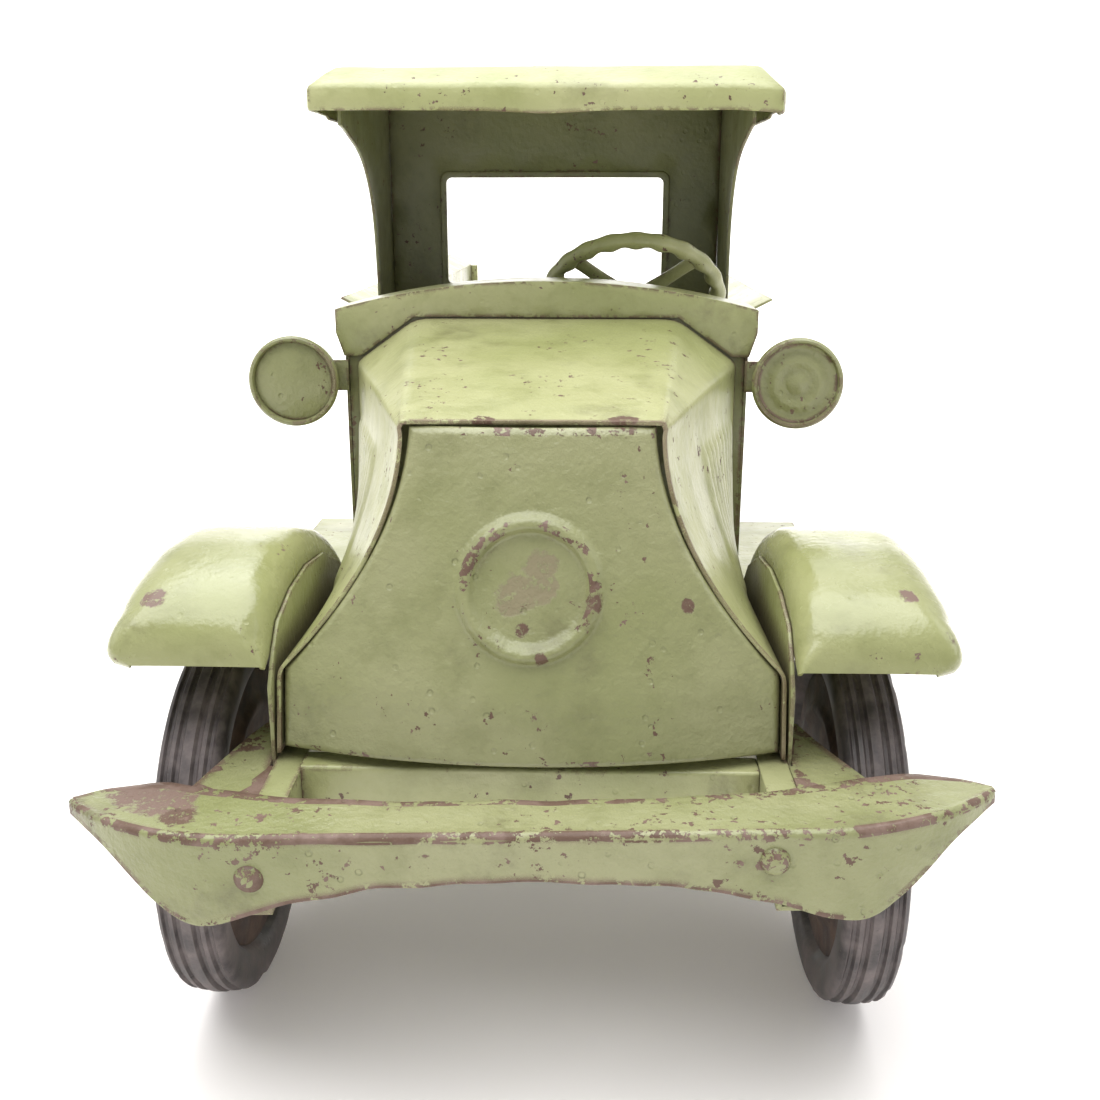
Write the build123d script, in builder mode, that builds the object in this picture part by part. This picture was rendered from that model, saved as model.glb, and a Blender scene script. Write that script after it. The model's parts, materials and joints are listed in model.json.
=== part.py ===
from build123d import *
import math
import os

# A pressed-steel toy truck: ladder frame, snub hood, open C-cab, express bed with a
# drop tailgate, and four disc wheels with rubber tyres.
# Frame: origin at the bottom centre of the whole truck, +Z up, the truck faces -Y, and
# its left side (the driver's) is +X. All sizes are in millimetres.

os.makedirs("parts", exist_ok=True)

# ---- overall -------------------------------------------------------------------------
SHEET = 1.0                 # body sheet
PLATE = 1.2                 # frame, bumper and bracket sheet
BUMPER_FACE_Y = -329.4
BED_REAR_Y = 324.0
TILT = 45.0                 # steering column, degrees

# ---- wheels and axles ----------------------------------------------------------------
TYRE_R = 50.0
TYRE_HALF = 7.75
DISC_R = 38.2
DISC_FACE = 4.0             # inner face of each disc from the wheel's middle plane
HALF_TRACK = 82.65
FRONT_AXLE_Y = -254.0
REAR_AXLE_Y = 185.0
AXLE_R = 3.0
HUB_BORE_R = AXLE_R + 0.08
HUB_R = 6.0
HUB_IN, HUB_OUT = 15.5, 8.5
SIDE_PLAY = 0.35
AXLE_HALF = 93.5

# ---- frame ---------------------------------------------------------------------------
RAIL_WEB_X = 54.0           # inner face of the rail's web
RAIL_OUT_X = 61.0           # edge of the rail's flanges
RAIL_Z0, RAIL_Z1 = 64.5, 82.5
RAIL_FRONT_Y, RAIL_REAR_Y = -327.6, 322.0
CROSSMEMBER_Y = (-178.0, 60.0, 255.0)
APRON_Y = -297.0

# ---- bumper --------------------------------------------------------------------------
BUMPER_HALF = 104.0
BUMPER_FLAT = 60.0          # half width of the straight middle
BUMPER_SWEEP = 18.0         # how far the tips stand back
BUMPER_TOP = RAIL_Z1 + SHEET
BOLT_R, BOLT_H = 3.4, 2.0
BOLTS = ((-58.5, 73.5), (53.0, 76.5))    # x and z: the pair isn't quite level

# ---- hood and cowl -------------------------------------------------------------------
HOOD_Z0 = 84.0
HOOD_FRONT_TOP = (31.2, 161.0)
HOOD_FRONT_HIP = (61.0, 103.5)
HOOD_REAR_TOP = (40.0, 176.0)
HOOD_REAR_HIP = (59.0, 162.5)
HOOD_REAR_Y = -181.0
HOOD_SIDE_STEPS = 6
HOOD_REAR_SIDE_Z = 100.0    # where the rear section's side divisions end
FRONT_AXIS_Y = -120.0       # upright axis that the front plate's bow turns about
FRONT_FOOT = (-302.0, 84.6)
FRONT_KNEE = (-298.6, 100.0)
FRONT_HEAD = (-276.6, 162.0)
EMBLEM_Z, EMBLEM_R, EMBLEM_W, EMBLEM_H = 124.8, 17.0, 3.4, 1.2
COWL_Y0, COWL_Y1 = -182.0, -160.0
COWL_HALF, COWL_END_Z, COWL_CROWN_Z = 64.5, 178.6, 187.0
COWL_EAR_Z, COWL_FOOT_Z = 171.6, 164.5

# ---- cab -----------------------------------------------------------------------------
CAB_HALF = 62.0
CAB_REAR_Y = -85.0
CAB_TOP_Z = 248.0
WINDOW_HALF, WINDOW_Z0, WINDOW_Z1 = 40.3, 180.0, 218.5
ROOF_HALF, ROOF_Y0, ROOF_Y1 = 68.8, -190.0, -77.0
ROOF_LIP_Z, ROOF_SHOULDER_Z, ROOF_TOP_Z = 234.5, 242.5, 249.5
SEAT_Y, SEAT_Z = -122.0, 123.0

# ---- steering ------------------------------------------------------------------------
WHEEL_AT = (28.0, -137.0, 178.0)
WHEEL_R, RIM_R = 28.5, 3.0
COLUMN_R, COLUMN_LENGTH = 2.0, 80.0
BUSH_R, BUSH_LENGTH = 4.0, 12.0

# ---- headlights ----------------------------------------------------------------------
LAMP_X, LAMP_Z, LAMP_R = 75.0, 158.5, 13.5
LAMP_FRONT_Y = -197.0
BRACKET_HEIGHT = 9.4

# ---- front fenders and running boards -------------------------------------------------
FENDER_AXIS = (-243.0, 62.0)            # y and z that the crown's radii start from
FENDER_X0, FENDER_X1 = CAB_HALF, 101.0
# angle above the rear horizontal, radius to the crown, depth of the side walls
FENDER_STATIONS = (
    (139.0, 67.4, 3.0), (134.4, 71.4, 9.5), (126.8, 71.8, 14.0), (113.5, 67.6, 14.5),
    (96.3, 63.9, 15.4), (76.2, 62.8, 15.5), (53.3, 63.6, 15.6), (33.2, 65.7, 15.1),
    (18.2, 70.5, 14.5), (11.0, 74.5, 14.0),
)
FENDER_OUTER_R, FENDER_INNER_R = 12.5, 8.0
LIP = 0.6                   # straight edge below the shoulders' arcs
BOARD_Z = 80.0
BOARD_X1, BOARD_Y0, BOARD_Y1 = 100.0, -188.0, -60.0

# ---- bed -----------------------------------------------------------------------------
BED_Y0 = -72.0
BED_FLOOR_Z = 111.0
BED_HALF = 71.6
BED_WALL_Z = 166.0
FLARE_X, FLARE_Z = 85.0, 172.8
POST, POST_DEPTH = 4.6, 5.0
BED_FLOOR_Y1 = 321.0        # the floor stops just ahead of the tailgate
GATE_HALF, GATE_TOP_Z = 65.4, 148.0
HINGE_Y, HINGE_Z, KNUCKLE_R, PIN_R = 328.9, 111.0, 2.5, 1.2


def front_view(rear_y):
    """Plane of sketches in x and z; extruding brings the solid forward from rear_y."""
    return Plane.XZ.offset(-rear_y)


def save(piece, name):
    """Labels a finished sub-part and writes its STEP file."""
    piece.part.label = name
    export_step(piece.part, f"parts/{name}.step")


def save_pair(piece, name):
    """Writes the left-hand piece and its mirror image on the right."""
    save(piece, f"{name}_left")
    with BuildPart() as twin:
        mirror(piece.part, about=Plane.YZ)
    save(twin, f"{name}_right")


def block(x0, x1, y0, y1, z0, z1, mode=Mode.ADD):
    """A box between two corners."""
    with Locations(((x0 + x1) / 2, (y0 + y1) / 2, (z0 + z1) / 2)):
        Box(x1 - x0, y1 - y0, z1 - z0, mode=mode)


def both_sides(points):
    """A closed outline from the points of its right half, listed from top to bottom."""
    return points + [(-x, z) for x, z in reversed(points)]


# ======================================================================================
# Frame: two channel rails that open outward, crossmembers, apron and horns
# ======================================================================================
def channel(x_web, x_edge, z0, z1):
    """Outline of a C section with its web at x_web and its flanges reaching x_edge."""
    return [(x_web, z0), (x_edge, z0), (x_edge, z0 + PLATE), (x_web + PLATE, z0 + PLATE),
            (x_web + PLATE, z1 - PLATE), (x_edge, z1 - PLATE), (x_edge, z1), (x_web, z1)]


with BuildPart() as rail:
    with BuildSketch(front_view(RAIL_REAR_Y)):
        with BuildLine():
            Polyline(channel(RAIL_WEB_X, RAIL_OUT_X, RAIL_Z0, RAIL_Z1), close=True)
        make_face()
    extrude(amount=RAIL_REAR_Y - RAIL_FRONT_Y)
save_pair(rail, "frame_rail")

with BuildPart() as crossmembers:
    for y in CROSSMEMBER_Y:
        block(-RAIL_WEB_X, RAIL_WEB_X, y, y + PLATE, RAIL_Z0 + 2, RAIL_Z1 - 2)
        block(-RAIL_WEB_X, RAIL_WEB_X, y + PLATE, y + 9, RAIL_Z1 - 2 - PLATE, RAIL_Z1 - 2)
save(crossmembers, "frame_crossmembers")

with BuildPart() as apron:
    with BuildSketch(Plane.YZ.offset(-RAIL_WEB_X)) as apron_section:
        with BuildLine():
            Polyline((APRON_Y, RAIL_Z0), (APRON_Y + SHEET, RAIL_Z0),
                     (APRON_Y + SHEET, RAIL_Z1 - SHEET), (APRON_Y + 8, RAIL_Z1 - SHEET),
                     (APRON_Y + 8, RAIL_Z1), (APRON_Y, RAIL_Z1), close=True)
        make_face()
        fillet(apron_section.vertices().group_by(Axis.X)[0].sort_by(Axis.Y)[-1], 0.9)
    extrude(amount=2 * RAIL_WEB_X)
save(apron, "front_apron")

# The horn is a flat gusset from the rail out to the bumper, clear of the tyre behind it.
HORN = [(RAIL_OUT_X, -312), (RAIL_OUT_X, -294.5), (CAB_HALF, -294.5), (CAB_HALF, -269),
        (67, -269), (77.6, -302.5), (80.5, -311.7)]
with BuildPart() as horn:
    with BuildSketch(Plane.XY.offset(RAIL_Z1 - SHEET)):
        with BuildLine():
            Polyline(HORN, close=True)
        make_face()
    extrude(amount=SHEET)
save_pair(horn, "horn")

# ======================================================================================
# Bumper: a bow-tie face, swept back at the tips, with a flange along its top
# ======================================================================================
# Radius of the tips' sweep, tangent to the straight middle.
SWEEP_RUN = BUMPER_HALF - BUMPER_FLAT
SWEEP_R = (SWEEP_RUN ** 2 + BUMPER_SWEEP ** 2) / (2 * BUMPER_SWEEP)


def bumper_front(x, inset=0.0):
    """y of the face at a distance x from the middle, inset towards the rear."""
    run = max(0.0, abs(x) - BUMPER_FLAT)
    radius = SWEEP_R - inset
    return BUMPER_FACE_Y + SWEEP_R - math.sqrt(max(radius ** 2 - run ** 2, 0.0))


def swept_line(inset):
    """The bumper's plan line: straight in the middle, an arc out to each tip."""
    tip = BUMPER_HALF + 6
    mid = (BUMPER_FLAT + tip) / 2
    tip_y, mid_y = bumper_front(tip, inset), bumper_front(mid, inset)
    flat_y = bumper_front(0, inset)
    ThreePointArc((-tip, tip_y), (-mid, mid_y), (-BUMPER_FLAT, flat_y))
    Line((-BUMPER_FLAT, flat_y), (BUMPER_FLAT, flat_y))
    ThreePointArc((BUMPER_FLAT, flat_y), (mid, mid_y), (tip, tip_y))


# Lower edge of the face, right half, from the middle out to the tip.
BUMPER_EDGE = [(0, 72.5), (32, 71), (53, 67), (66, 62.5), (74, 61.7), (85, 69.5),
               (93, 77.3), (BUMPER_HALF, 81.0)]
with BuildPart() as bumper:
    with BuildSketch(Plane.XY.offset(60)):
        with BuildLine():
            swept_line(0.0)
            swept_line(PLATE)
            for side in (-1, 1):
                tip = BUMPER_HALF + 6
                Line((side * tip, bumper_front(tip)), (side * tip, bumper_front(tip, PLATE)))
        make_face()
    extrude(amount=BUMPER_TOP - 60)
    with BuildSketch(front_view(-290)):
        with BuildLine():
            upper = [(BUMPER_HALF, BUMPER_TOP), (-BUMPER_HALF, BUMPER_TOP)]
            lower = [(-x, z) for x, z in reversed(BUMPER_EDGE)] + BUMPER_EDGE[1:]
            Polyline(upper + lower, close=True)
        make_face()
    extrude(amount=50, mode=Mode.INTERSECT)
    with BuildSketch(Plane.XY.offset(RAIL_Z1)):
        with BuildLine():
            flat_y = bumper_front(0, PLATE / 2)
            tip_y = bumper_front(BUMPER_HALF, PLATE / 2)
            mid_x = (BUMPER_FLAT + BUMPER_HALF) / 2
            mid_y = bumper_front(mid_x, PLATE / 2)
            ThreePointArc((-BUMPER_HALF, tip_y), (-mid_x, mid_y), (-BUMPER_FLAT, flat_y))
            Line((-BUMPER_FLAT, flat_y), (BUMPER_FLAT, flat_y))
            ThreePointArc((BUMPER_FLAT, flat_y), (mid_x, mid_y), (BUMPER_HALF, tip_y))
            Polyline((BUMPER_HALF, tip_y), (100, -306), (92, -303.5), (85, -302), (74, -305),
                     (60, -309.5), (30, -313), (-30, -313), (-60, -309.5), (-74, -305),
                     (-85, -302), (-92, -303.5), (-100, -306), (-BUMPER_HALF, tip_y))
        make_face()
    extrude(amount=SHEET)
save(bumper, "bumper")

with BuildPart() as bumper_bolts:
    for bolt_x, bolt_z in BOLTS:
        with BuildSketch(Plane((bolt_x, BUMPER_FACE_Y, bolt_z), x_dir=(1, 0, 0),
                               z_dir=(0, -1, 0))):
            Circle(BOLT_R)
        extrude(amount=BOLT_H, taper=22)
save(bumper_bolts, "bumper_bolts")

# ======================================================================================
# Axles, their hangers below the rails, and the retainers that hold the wheels in place
# ======================================================================================
with BuildPart() as hangers:
    for y in (FRONT_AXLE_Y, REAR_AXLE_Y):
        for side in (-1, 1):
            x_in, x_out = sorted((side * (RAIL_OUT_X - PLATE), side * RAIL_OUT_X))
            f_in, f_out = sorted((side * RAIL_WEB_X, side * (RAIL_OUT_X - PLATE)))
            block(x_in, x_out, y - 10, y + 10, TYRE_R - 7, RAIL_Z0)
            block(f_in, f_out, y - 10, y + 10, RAIL_Z0 - PLATE, RAIL_Z0)
        with Locations(Location((0, y, TYRE_R), (0, 90, 0))):
            Cylinder(AXLE_R, 4 * RAIL_OUT_X, mode=Mode.SUBTRACT)
save(hangers, "axle_hangers")


def axle(y, name):
    with BuildPart() as rod:
        with Locations(Location((0, y, TYRE_R), (0, 90, 0))):
            Cylinder(AXLE_R, 2 * AXLE_HALF)
    save(rod, name)


axle(FRONT_AXLE_Y, "front_axle")
axle(REAR_AXLE_Y, "rear_axle")

COLLAR_X1 = HALF_TRACK - HUB_IN - SIDE_PLAY
CAP_X0 = HALF_TRACK + HUB_OUT + SIDE_PLAY
with BuildPart() as retainers:
    for y in (FRONT_AXLE_Y, REAR_AXLE_Y):
        for side in (-1, 1):
            with BuildSketch(Plane((side * (COLLAR_X1 - 4), y, TYRE_R), z_dir=(side, 0, 0))):
                Circle(5.5)
                Circle(AXLE_R, mode=Mode.SUBTRACT)
            extrude(amount=4)
            with BuildSketch(Plane((side * CAP_X0, y, TYRE_R), z_dir=(side, 0, 0))):
                Circle(5.0)
                Circle(AXLE_R, mode=Mode.SUBTRACT)
            extrude(amount=AXLE_HALF - CAP_X0)
            with BuildSketch(Plane((side * AXLE_HALF, y, TYRE_R), z_dir=(side, 0, 0))):
                Circle(5.0)
            extrude(amount=2.0, taper=40)
save(retainers, "axle_retainers")


# ======================================================================================
# Wheels: a grooved solid tyre gripped between two pressed discs on a hub tube
# ======================================================================================
def tyre_section():
    """Half of the tyre's section as (offset from the middle plane, radius)."""
    tread = []
    for groove in (2.2, 5.0):
        tread += [(groove - 0.5, TYRE_R), (groove - 0.5, TYRE_R - 1.3),
                  (groove + 0.5, TYRE_R - 1.3), (groove + 0.5, TYRE_R - 0.3)]
    return tread + [(6.6, TYRE_R - 0.9), (TYRE_HALF, 47.0), (TYRE_HALF, 42.0),
                    (6.4, 39.4), (DISC_FACE, DISC_R), (DISC_FACE, 33.5)]


def wheel(name, x, y):
    """Tyre, outer disc, and inner disc with the hub, turning on the axle at (x, y)."""
    side = 1 if x > 0 else -1
    hub_axis = Axis((0, y, TYRE_R), (1, 0, 0))

    with BuildPart() as tyre:
        with BuildSketch(Plane((x, y, TYRE_R), x_dir=(1, 0, 0), z_dir=(0, -1, 0))):
            half = tyre_section()
            with BuildLine():
                Polyline([(-u, r) for u, r in reversed(half)] + half, close=True)
            make_face()
        revolve(axis=hub_axis)
    save(tyre, f"tyre_{name}")

    for face, direction, bore in (("outer", side, HUB_R), ("inner", -side, HUB_BORE_R)):
        with BuildPart() as disc:
            with BuildSketch(Plane((x, y, TYRE_R), x_dir=(direction, 0, 0),
                                   z_dir=(0, direction, 0))):
                base, top = DISC_FACE, DISC_FACE + SHEET
                ridge = 1.4
                with BuildLine():
                    # out along the inner face, back along the outer one, over two ridges
                    Polyline((base, bore), (base, 13), (base + ridge, 14.5),
                             (base + ridge, 16.5), (base, 18), (base, 25),
                             (base + ridge, 26.5), (base + ridge, 28.5), (base, 30),
                             (base, DISC_R), (top, DISC_R), (top, 30.4),
                             (top + ridge, 28.9), (top + ridge, 26.1), (top, 24.6),
                             (top, 18.4), (top + ridge, 16.9), (top + ridge, 14.1),
                             (top, 12.6), (top, bore), close=True)
                make_face()
            revolve(axis=hub_axis)
            if face == "inner":
                with BuildSketch(Plane((x - side * HUB_IN, y, TYRE_R), z_dir=(side, 0, 0))):
                    Circle(HUB_R)
                    Circle(HUB_BORE_R, mode=Mode.SUBTRACT)
                extrude(amount=HUB_IN + HUB_OUT)
        save(disc, f"disc_{face}_{name}")


for row, axle_y in (("front", FRONT_AXLE_Y), ("rear", REAR_AXLE_Y)):
    wheel(f"{row}_left", HALF_TRACK, axle_y)
    wheel(f"{row}_right", -HALF_TRACK, axle_y)


# ======================================================================================
# Hood: a folded shell that widens into the cowl, closed in front by a bowed plate
# ======================================================================================
def hip_curve(t, top, hip):
    """Point at t = 0..1 on the front edge, which falls steeply and then sweeps outward."""
    return (top[0] + (hip[0] - top[0]) * t ** 2, top[1] + (hip[1] - top[1]) * t)


def hood_half(front, skin):
    """Right half of a hood section in x and z, moved inward by the skin's thickness."""
    steps = [i / HOOD_SIDE_STEPS for i in range(HOOD_SIDE_STEPS + 1)]
    foot = HOOD_Z0 - 4 * skin
    if front:
        side = [hip_curve(t, (HOOD_FRONT_TOP[0] + 0.8, HOOD_FRONT_TOP[1] - 2.0),
                          HOOD_FRONT_HIP) for t in steps]
        side = [(x - 1.2 * skin, z - 0.3 * skin) for x, z in side]
        return [(HOOD_FRONT_TOP[0] - skin, HOOD_FRONT_TOP[1] - skin)] + side + [
            (HOOD_FRONT_HIP[0] - skin, foot)]
    x_hip, z_hip = HOOD_REAR_HIP
    side = [(x_hip - skin, z_hip - 0.6 * skin + (HOOD_REAR_SIDE_Z - z_hip) * t) for t in steps]
    return [(HOOD_REAR_TOP[0] - 0.4 * skin, HOOD_REAR_TOP[1] - skin)] + side + [
        (x_hip - skin, foot)]


# The shell's front edge lies in a plane that leans back.
FRONT_EDGE_FOOT = (-293.0, HOOD_Z0)
FRONT_EDGE_RUN = (18.6, 78.0)
EDGE_LENGTH = math.hypot(*FRONT_EDGE_RUN)
EDGE_Y, EDGE_Z = FRONT_EDGE_RUN[0] / EDGE_LENGTH, FRONT_EDGE_RUN[1] / EDGE_LENGTH
HOOD_FRONT_PLANE = Plane((0, *FRONT_EDGE_FOOT), x_dir=(1, 0, 0), z_dir=(0, -EDGE_Z, EDGE_Y))
HOOD_REAR_PLANE = Plane((0, HOOD_REAR_Y, HOOD_Z0), x_dir=(1, 0, 0), z_dir=(0, -1, 0))


def hood_solid(skin):
    """The hood's outer shape, or with a skin its hollow, as one ruled loft."""
    with BuildPart() as solid:
        for plane, front, lean in ((HOOD_FRONT_PLANE, True, EDGE_Z),
                                   (HOOD_REAR_PLANE, False, 1.0)):
            with BuildSketch(plane):
                outline = [(x, (z - HOOD_Z0) / lean) for x, z in hood_half(front, skin)]
                with BuildLine():
                    Polyline(both_sides(outline), close=True)
                make_face()
        loft(ruled=True)
    return solid.part


with BuildPart() as hood_shell:
    add(hood_solid(0.0))
    add(hood_solid(SHEET), mode=Mode.SUBTRACT)
save(hood_shell, "hood_shell")


def bowed(y_shift, depth):
    """A leaning slab, bowed about the upright axis, from y_shift behind the plate's face."""
    face = [FRONT_FOOT, FRONT_KNEE, FRONT_HEAD]
    front = [(y + y_shift, z) for y, z in face]
    with BuildPart() as slab:
        with BuildSketch(Plane.YZ):
            with BuildLine():
                Polyline(front + [(y + depth, z) for y, z in reversed(front)], close=True)
            make_face()
        revolve(axis=Axis((0, FRONT_AXIS_Y, 0), (0, 0, 1)))
    return slab.part


def front_outline(inset):
    """Outline of the front plate, inside the shell by the sheet, a gap and the inset."""
    gap = SHEET + 0.6 + inset
    x_top, z_top = HOOD_FRONT_TOP[0] - gap, HOOD_FRONT_TOP[1] - gap
    x_hip, z_hip = HOOD_FRONT_HIP[0] - gap, HOOD_FRONT_HIP[1] - 0.4 * gap
    mid = hip_curve(0.5, (x_top, z_top), (x_hip, z_hip))
    foot = HOOD_Z0 + 0.6 + inset
    ThreePointArc((-x_top, z_top), (-mid[0], mid[1]), (-x_hip, z_hip))
    Polyline((-x_hip, z_hip), (-x_hip, foot), (x_hip, foot), (x_hip, z_hip))
    ThreePointArc((x_hip, z_hip), mid, (x_top, z_top))
    Line((x_top, z_top), (-x_top, z_top))


def front_pressing(y_shift, depth, inset):
    """The bowed slab cut to the plate's outline."""
    with BuildPart() as pressing:
        with BuildSketch(front_view(-262)):
            with BuildLine():
                front_outline(inset)
            make_face()
        extrude(amount=50)
        add(bowed(y_shift, depth), mode=Mode.INTERSECT)
    return pressing.part


LEAN = math.degrees(math.atan2(FRONT_HEAD[0] - FRONT_KNEE[0], FRONT_HEAD[1] - FRONT_KNEE[1]))
EMBLEM_Y = FRONT_KNEE[0] + (EMBLEM_Z - FRONT_KNEE[1]) * math.tan(math.radians(LEAN))
FLANGE_DEPTH = 6.0

with BuildPart() as emblem_ring:
    with BuildSketch(Plane((0, EMBLEM_Y + 4, EMBLEM_Z), x_dir=(1, 0, 0),
                           z_dir=(0, -math.cos(math.radians(LEAN)),
                                  math.sin(math.radians(LEAN))))):
        Circle(EMBLEM_R)
        Circle(EMBLEM_R - EMBLEM_W, mode=Mode.SUBTRACT)
    extrude(amount=12)
    add(bowed(-EMBLEM_H, EMBLEM_H + SHEET / 2), mode=Mode.INTERSECT)

with BuildPart() as hood_front:
    add(front_pressing(0.0, FLANGE_DEPTH, 0.0))
    add(front_pressing(SHEET, FLANGE_DEPTH, SHEET), mode=Mode.SUBTRACT)
    add(emblem_ring.part)
save(hood_front, "hood_front")


# ======================================================================================
# Cowl and firewall
# ======================================================================================
def cowl_outline(inset):
    """Arched top with a turned-down ear at each side, closed below the ears."""
    x_end, z_end = COWL_HALF - inset, COWL_END_Z - inset
    crown, ear = COWL_CROWN_Z - inset, COWL_EAR_Z + inset
    ThreePointArc((-x_end, z_end), (0, crown), (x_end, z_end))
    x_foot = CAB_HALF + 0.2 - inset
    Polyline((x_end, z_end), (x_end, ear), (x_foot, COWL_FOOT_Z),
             (-x_foot, COWL_FOOT_Z), (-x_end, ear), (-x_end, z_end))


CLEAR = 0.3
with BuildPart() as cowl:
    with BuildSketch(front_view(COWL_Y1)):
        with BuildLine():
            cowl_outline(0.0)
        make_face()
    extrude(amount=COWL_Y1 - COWL_Y0)
    with BuildSketch(front_view(COWL_Y1)) as hollow:
        with BuildLine():
            cowl_outline(SHEET)
        make_face()
        with Locations((0, 168)):
            Rectangle(2 * CAB_HALF, 8)
    extrude(amount=COWL_Y1 - COWL_Y0 - SHEET, mode=Mode.SUBTRACT)
    with BuildSketch(front_view(COWL_Y0 + SHEET)):
        with BuildLine():
            x_top, z_top = HOOD_REAR_TOP[0] + CLEAR, HOOD_REAR_TOP[1] + CLEAR
            x_hip, z_hip = HOOD_REAR_HIP[0] + CLEAR, HOOD_REAR_HIP[1] + CLEAR
            Polyline((-x_top, z_top), (x_top, z_top), (x_hip, z_hip), (x_hip, 160),
                     (-x_hip, 160), (-x_hip, z_hip), close=True)
        make_face()
    extrude(amount=SHEET, mode=Mode.SUBTRACT)
save(cowl, "cowl")

AXIS_DIR = (0.0, math.sin(math.radians(TILT)), math.cos(math.radians(TILT)))
BUSH_RUN = (WHEEL_AT[1] - HOOD_REAR_Y) / AXIS_DIR[1]


def on_column(distance):
    """A point below the steering wheel, along its column."""
    return tuple(c - distance * a for c, a in zip(WHEEL_AT, AXIS_DIR))


def column_plane(distance):
    """Plane square to the column, facing up it."""
    return Plane(on_column(distance), x_dir=(1, 0, 0), z_dir=AXIS_DIR)


with BuildPart() as firewall:
    with BuildSketch(front_view(HOOD_REAR_Y + SHEET)):
        with BuildLine():
            x_end = CAB_HALF - SHEET
            Polyline((-x_end, 177.5), (-x_end, RAIL_Z1), (x_end, RAIL_Z1), (x_end, 177.5))
            ThreePointArc((x_end, 177.5), (0, COWL_CROWN_Z - SHEET - 0.1), (-x_end, 177.5))
        make_face()
    extrude(amount=SHEET)
    with BuildSketch(column_plane(BUSH_RUN + BUSH_LENGTH)):
        Circle(BUSH_R)
    extrude(amount=2 * BUSH_LENGTH, mode=Mode.SUBTRACT)
save(firewall, "firewall")

with BuildPart() as bush:
    with BuildSketch(column_plane(BUSH_RUN + BUSH_LENGTH / 2)):
        Circle(BUSH_R)
        Circle(COLUMN_R + 0.06, mode=Mode.SUBTRACT)
    extrude(amount=BUSH_LENGTH)
save(bush, "column_bush")

# ======================================================================================
# Cab: open C-shaped sides, a back with a window, a pressed roof, floor and bench
# ======================================================================================
with BuildPart() as cab_side:
    with BuildSketch(Plane.YZ.offset(CAB_HALF - SHEET)):
        with BuildLine():
            Polyline((-170, CAB_TOP_Z - 0.5), (-175, 243), (-176, 232))
            Spline((-176, 232), (-160, 229), (-138, 222), (-124, 208), (-120, 190),
                   (-120, 160), (-126, 146), (-140, 140), (-152, 142), (-160, 152),
                   (-162, 172), tangents=[(1, -0.1), (0, 1)])
            Polyline((-162, 172), (HOOD_REAR_Y, 172), (HOOD_REAR_Y, BOARD_Z),
                     (CAB_REAR_Y, BOARD_Z), (CAB_REAR_Y, CAB_TOP_Z - 0.5),
                     (-170, CAB_TOP_Z - 0.5))
        make_face()
    extrude(amount=SHEET)
save_pair(cab_side, "cab_side")

HEM = 2.2
with BuildPart() as cab_back:
    with BuildSketch(front_view(CAB_REAR_Y)):
        with Locations((0, (RAIL_Z1 + SHEET + CAB_TOP_Z - 0.5) / 2)):
            Rectangle(2 * (CAB_HALF - SHEET), CAB_TOP_Z - 0.5 - RAIL_Z1 - SHEET)
    extrude(amount=SHEET)
    # the edge of the opening is folded forward as a hem
    with BuildSketch(front_view(CAB_REAR_Y)):
        with Locations((0, (WINDOW_Z0 + WINDOW_Z1) / 2)):
            RectangleRounded(2 * (WINDOW_HALF + HEM), WINDOW_Z1 - WINDOW_Z0 + 2 * HEM, 3.0)
    extrude(amount=2 * SHEET)
    with BuildSketch(front_view(CAB_REAR_Y)):
        with Locations((0, (WINDOW_Z0 + WINDOW_Z1) / 2)):
            RectangleRounded(2 * WINDOW_HALF, WINDOW_Z1 - WINDOW_Z0, 2.0)
    extrude(amount=3 * SHEET, mode=Mode.SUBTRACT)
save(cab_back, "cab_back")


def roof_solid(inset):
    """Upright lip, then slopes that run up to the flat top, steepest at the sides."""
    half, front, rear = ROOF_HALF - inset, ROOF_Y0 + inset, ROOF_Y1 - inset
    with BuildPart() as solid:
        with BuildSketch(Plane.XY.offset(ROOF_LIP_Z - inset)):
            with Locations((0, (front + rear) / 2)):
                RectangleRounded(2 * half, rear - front, 3.0 - inset)
        extrude(amount=ROOF_SHOULDER_Z - ROOF_LIP_Z)
        with BuildSketch(Plane.XY.offset(ROOF_SHOULDER_Z - inset)):
            with Locations((0, (front + rear) / 2)):
                Rectangle(2 * half - 1, rear - front - 1)
        with BuildSketch(Plane.XY.offset(ROOF_TOP_Z - inset)):
            with Locations((0, (front + 18 + rear - 6) / 2)):
                Rectangle(2 * half - 12, rear - front - 24)
        loft(ruled=True)
    return solid.part


with BuildPart() as roof:
    add(roof_solid(0.0))
    add(roof_solid(SHEET), mode=Mode.SUBTRACT)
save(roof, "cab_roof")

with BuildPart() as floor:
    block(-CAB_HALF + SHEET, CAB_HALF - SHEET, HOOD_REAR_Y + SHEET, CAB_REAR_Y,
          RAIL_Z1, RAIL_Z1 + SHEET)
save(floor, "cab_floor")

SEAT_HALF = CAB_HALF - SHEET - 0.2
with BuildPart() as seat:
    block(-SEAT_HALF, SEAT_HALF, SEAT_Y, SEAT_Y + SHEET, RAIL_Z1 + SHEET, SEAT_Z)
    block(-SEAT_HALF, SEAT_HALF, SEAT_Y + SHEET, CAB_REAR_Y - SHEET, SEAT_Z - SHEET, SEAT_Z)
save(seat, "seat")

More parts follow.
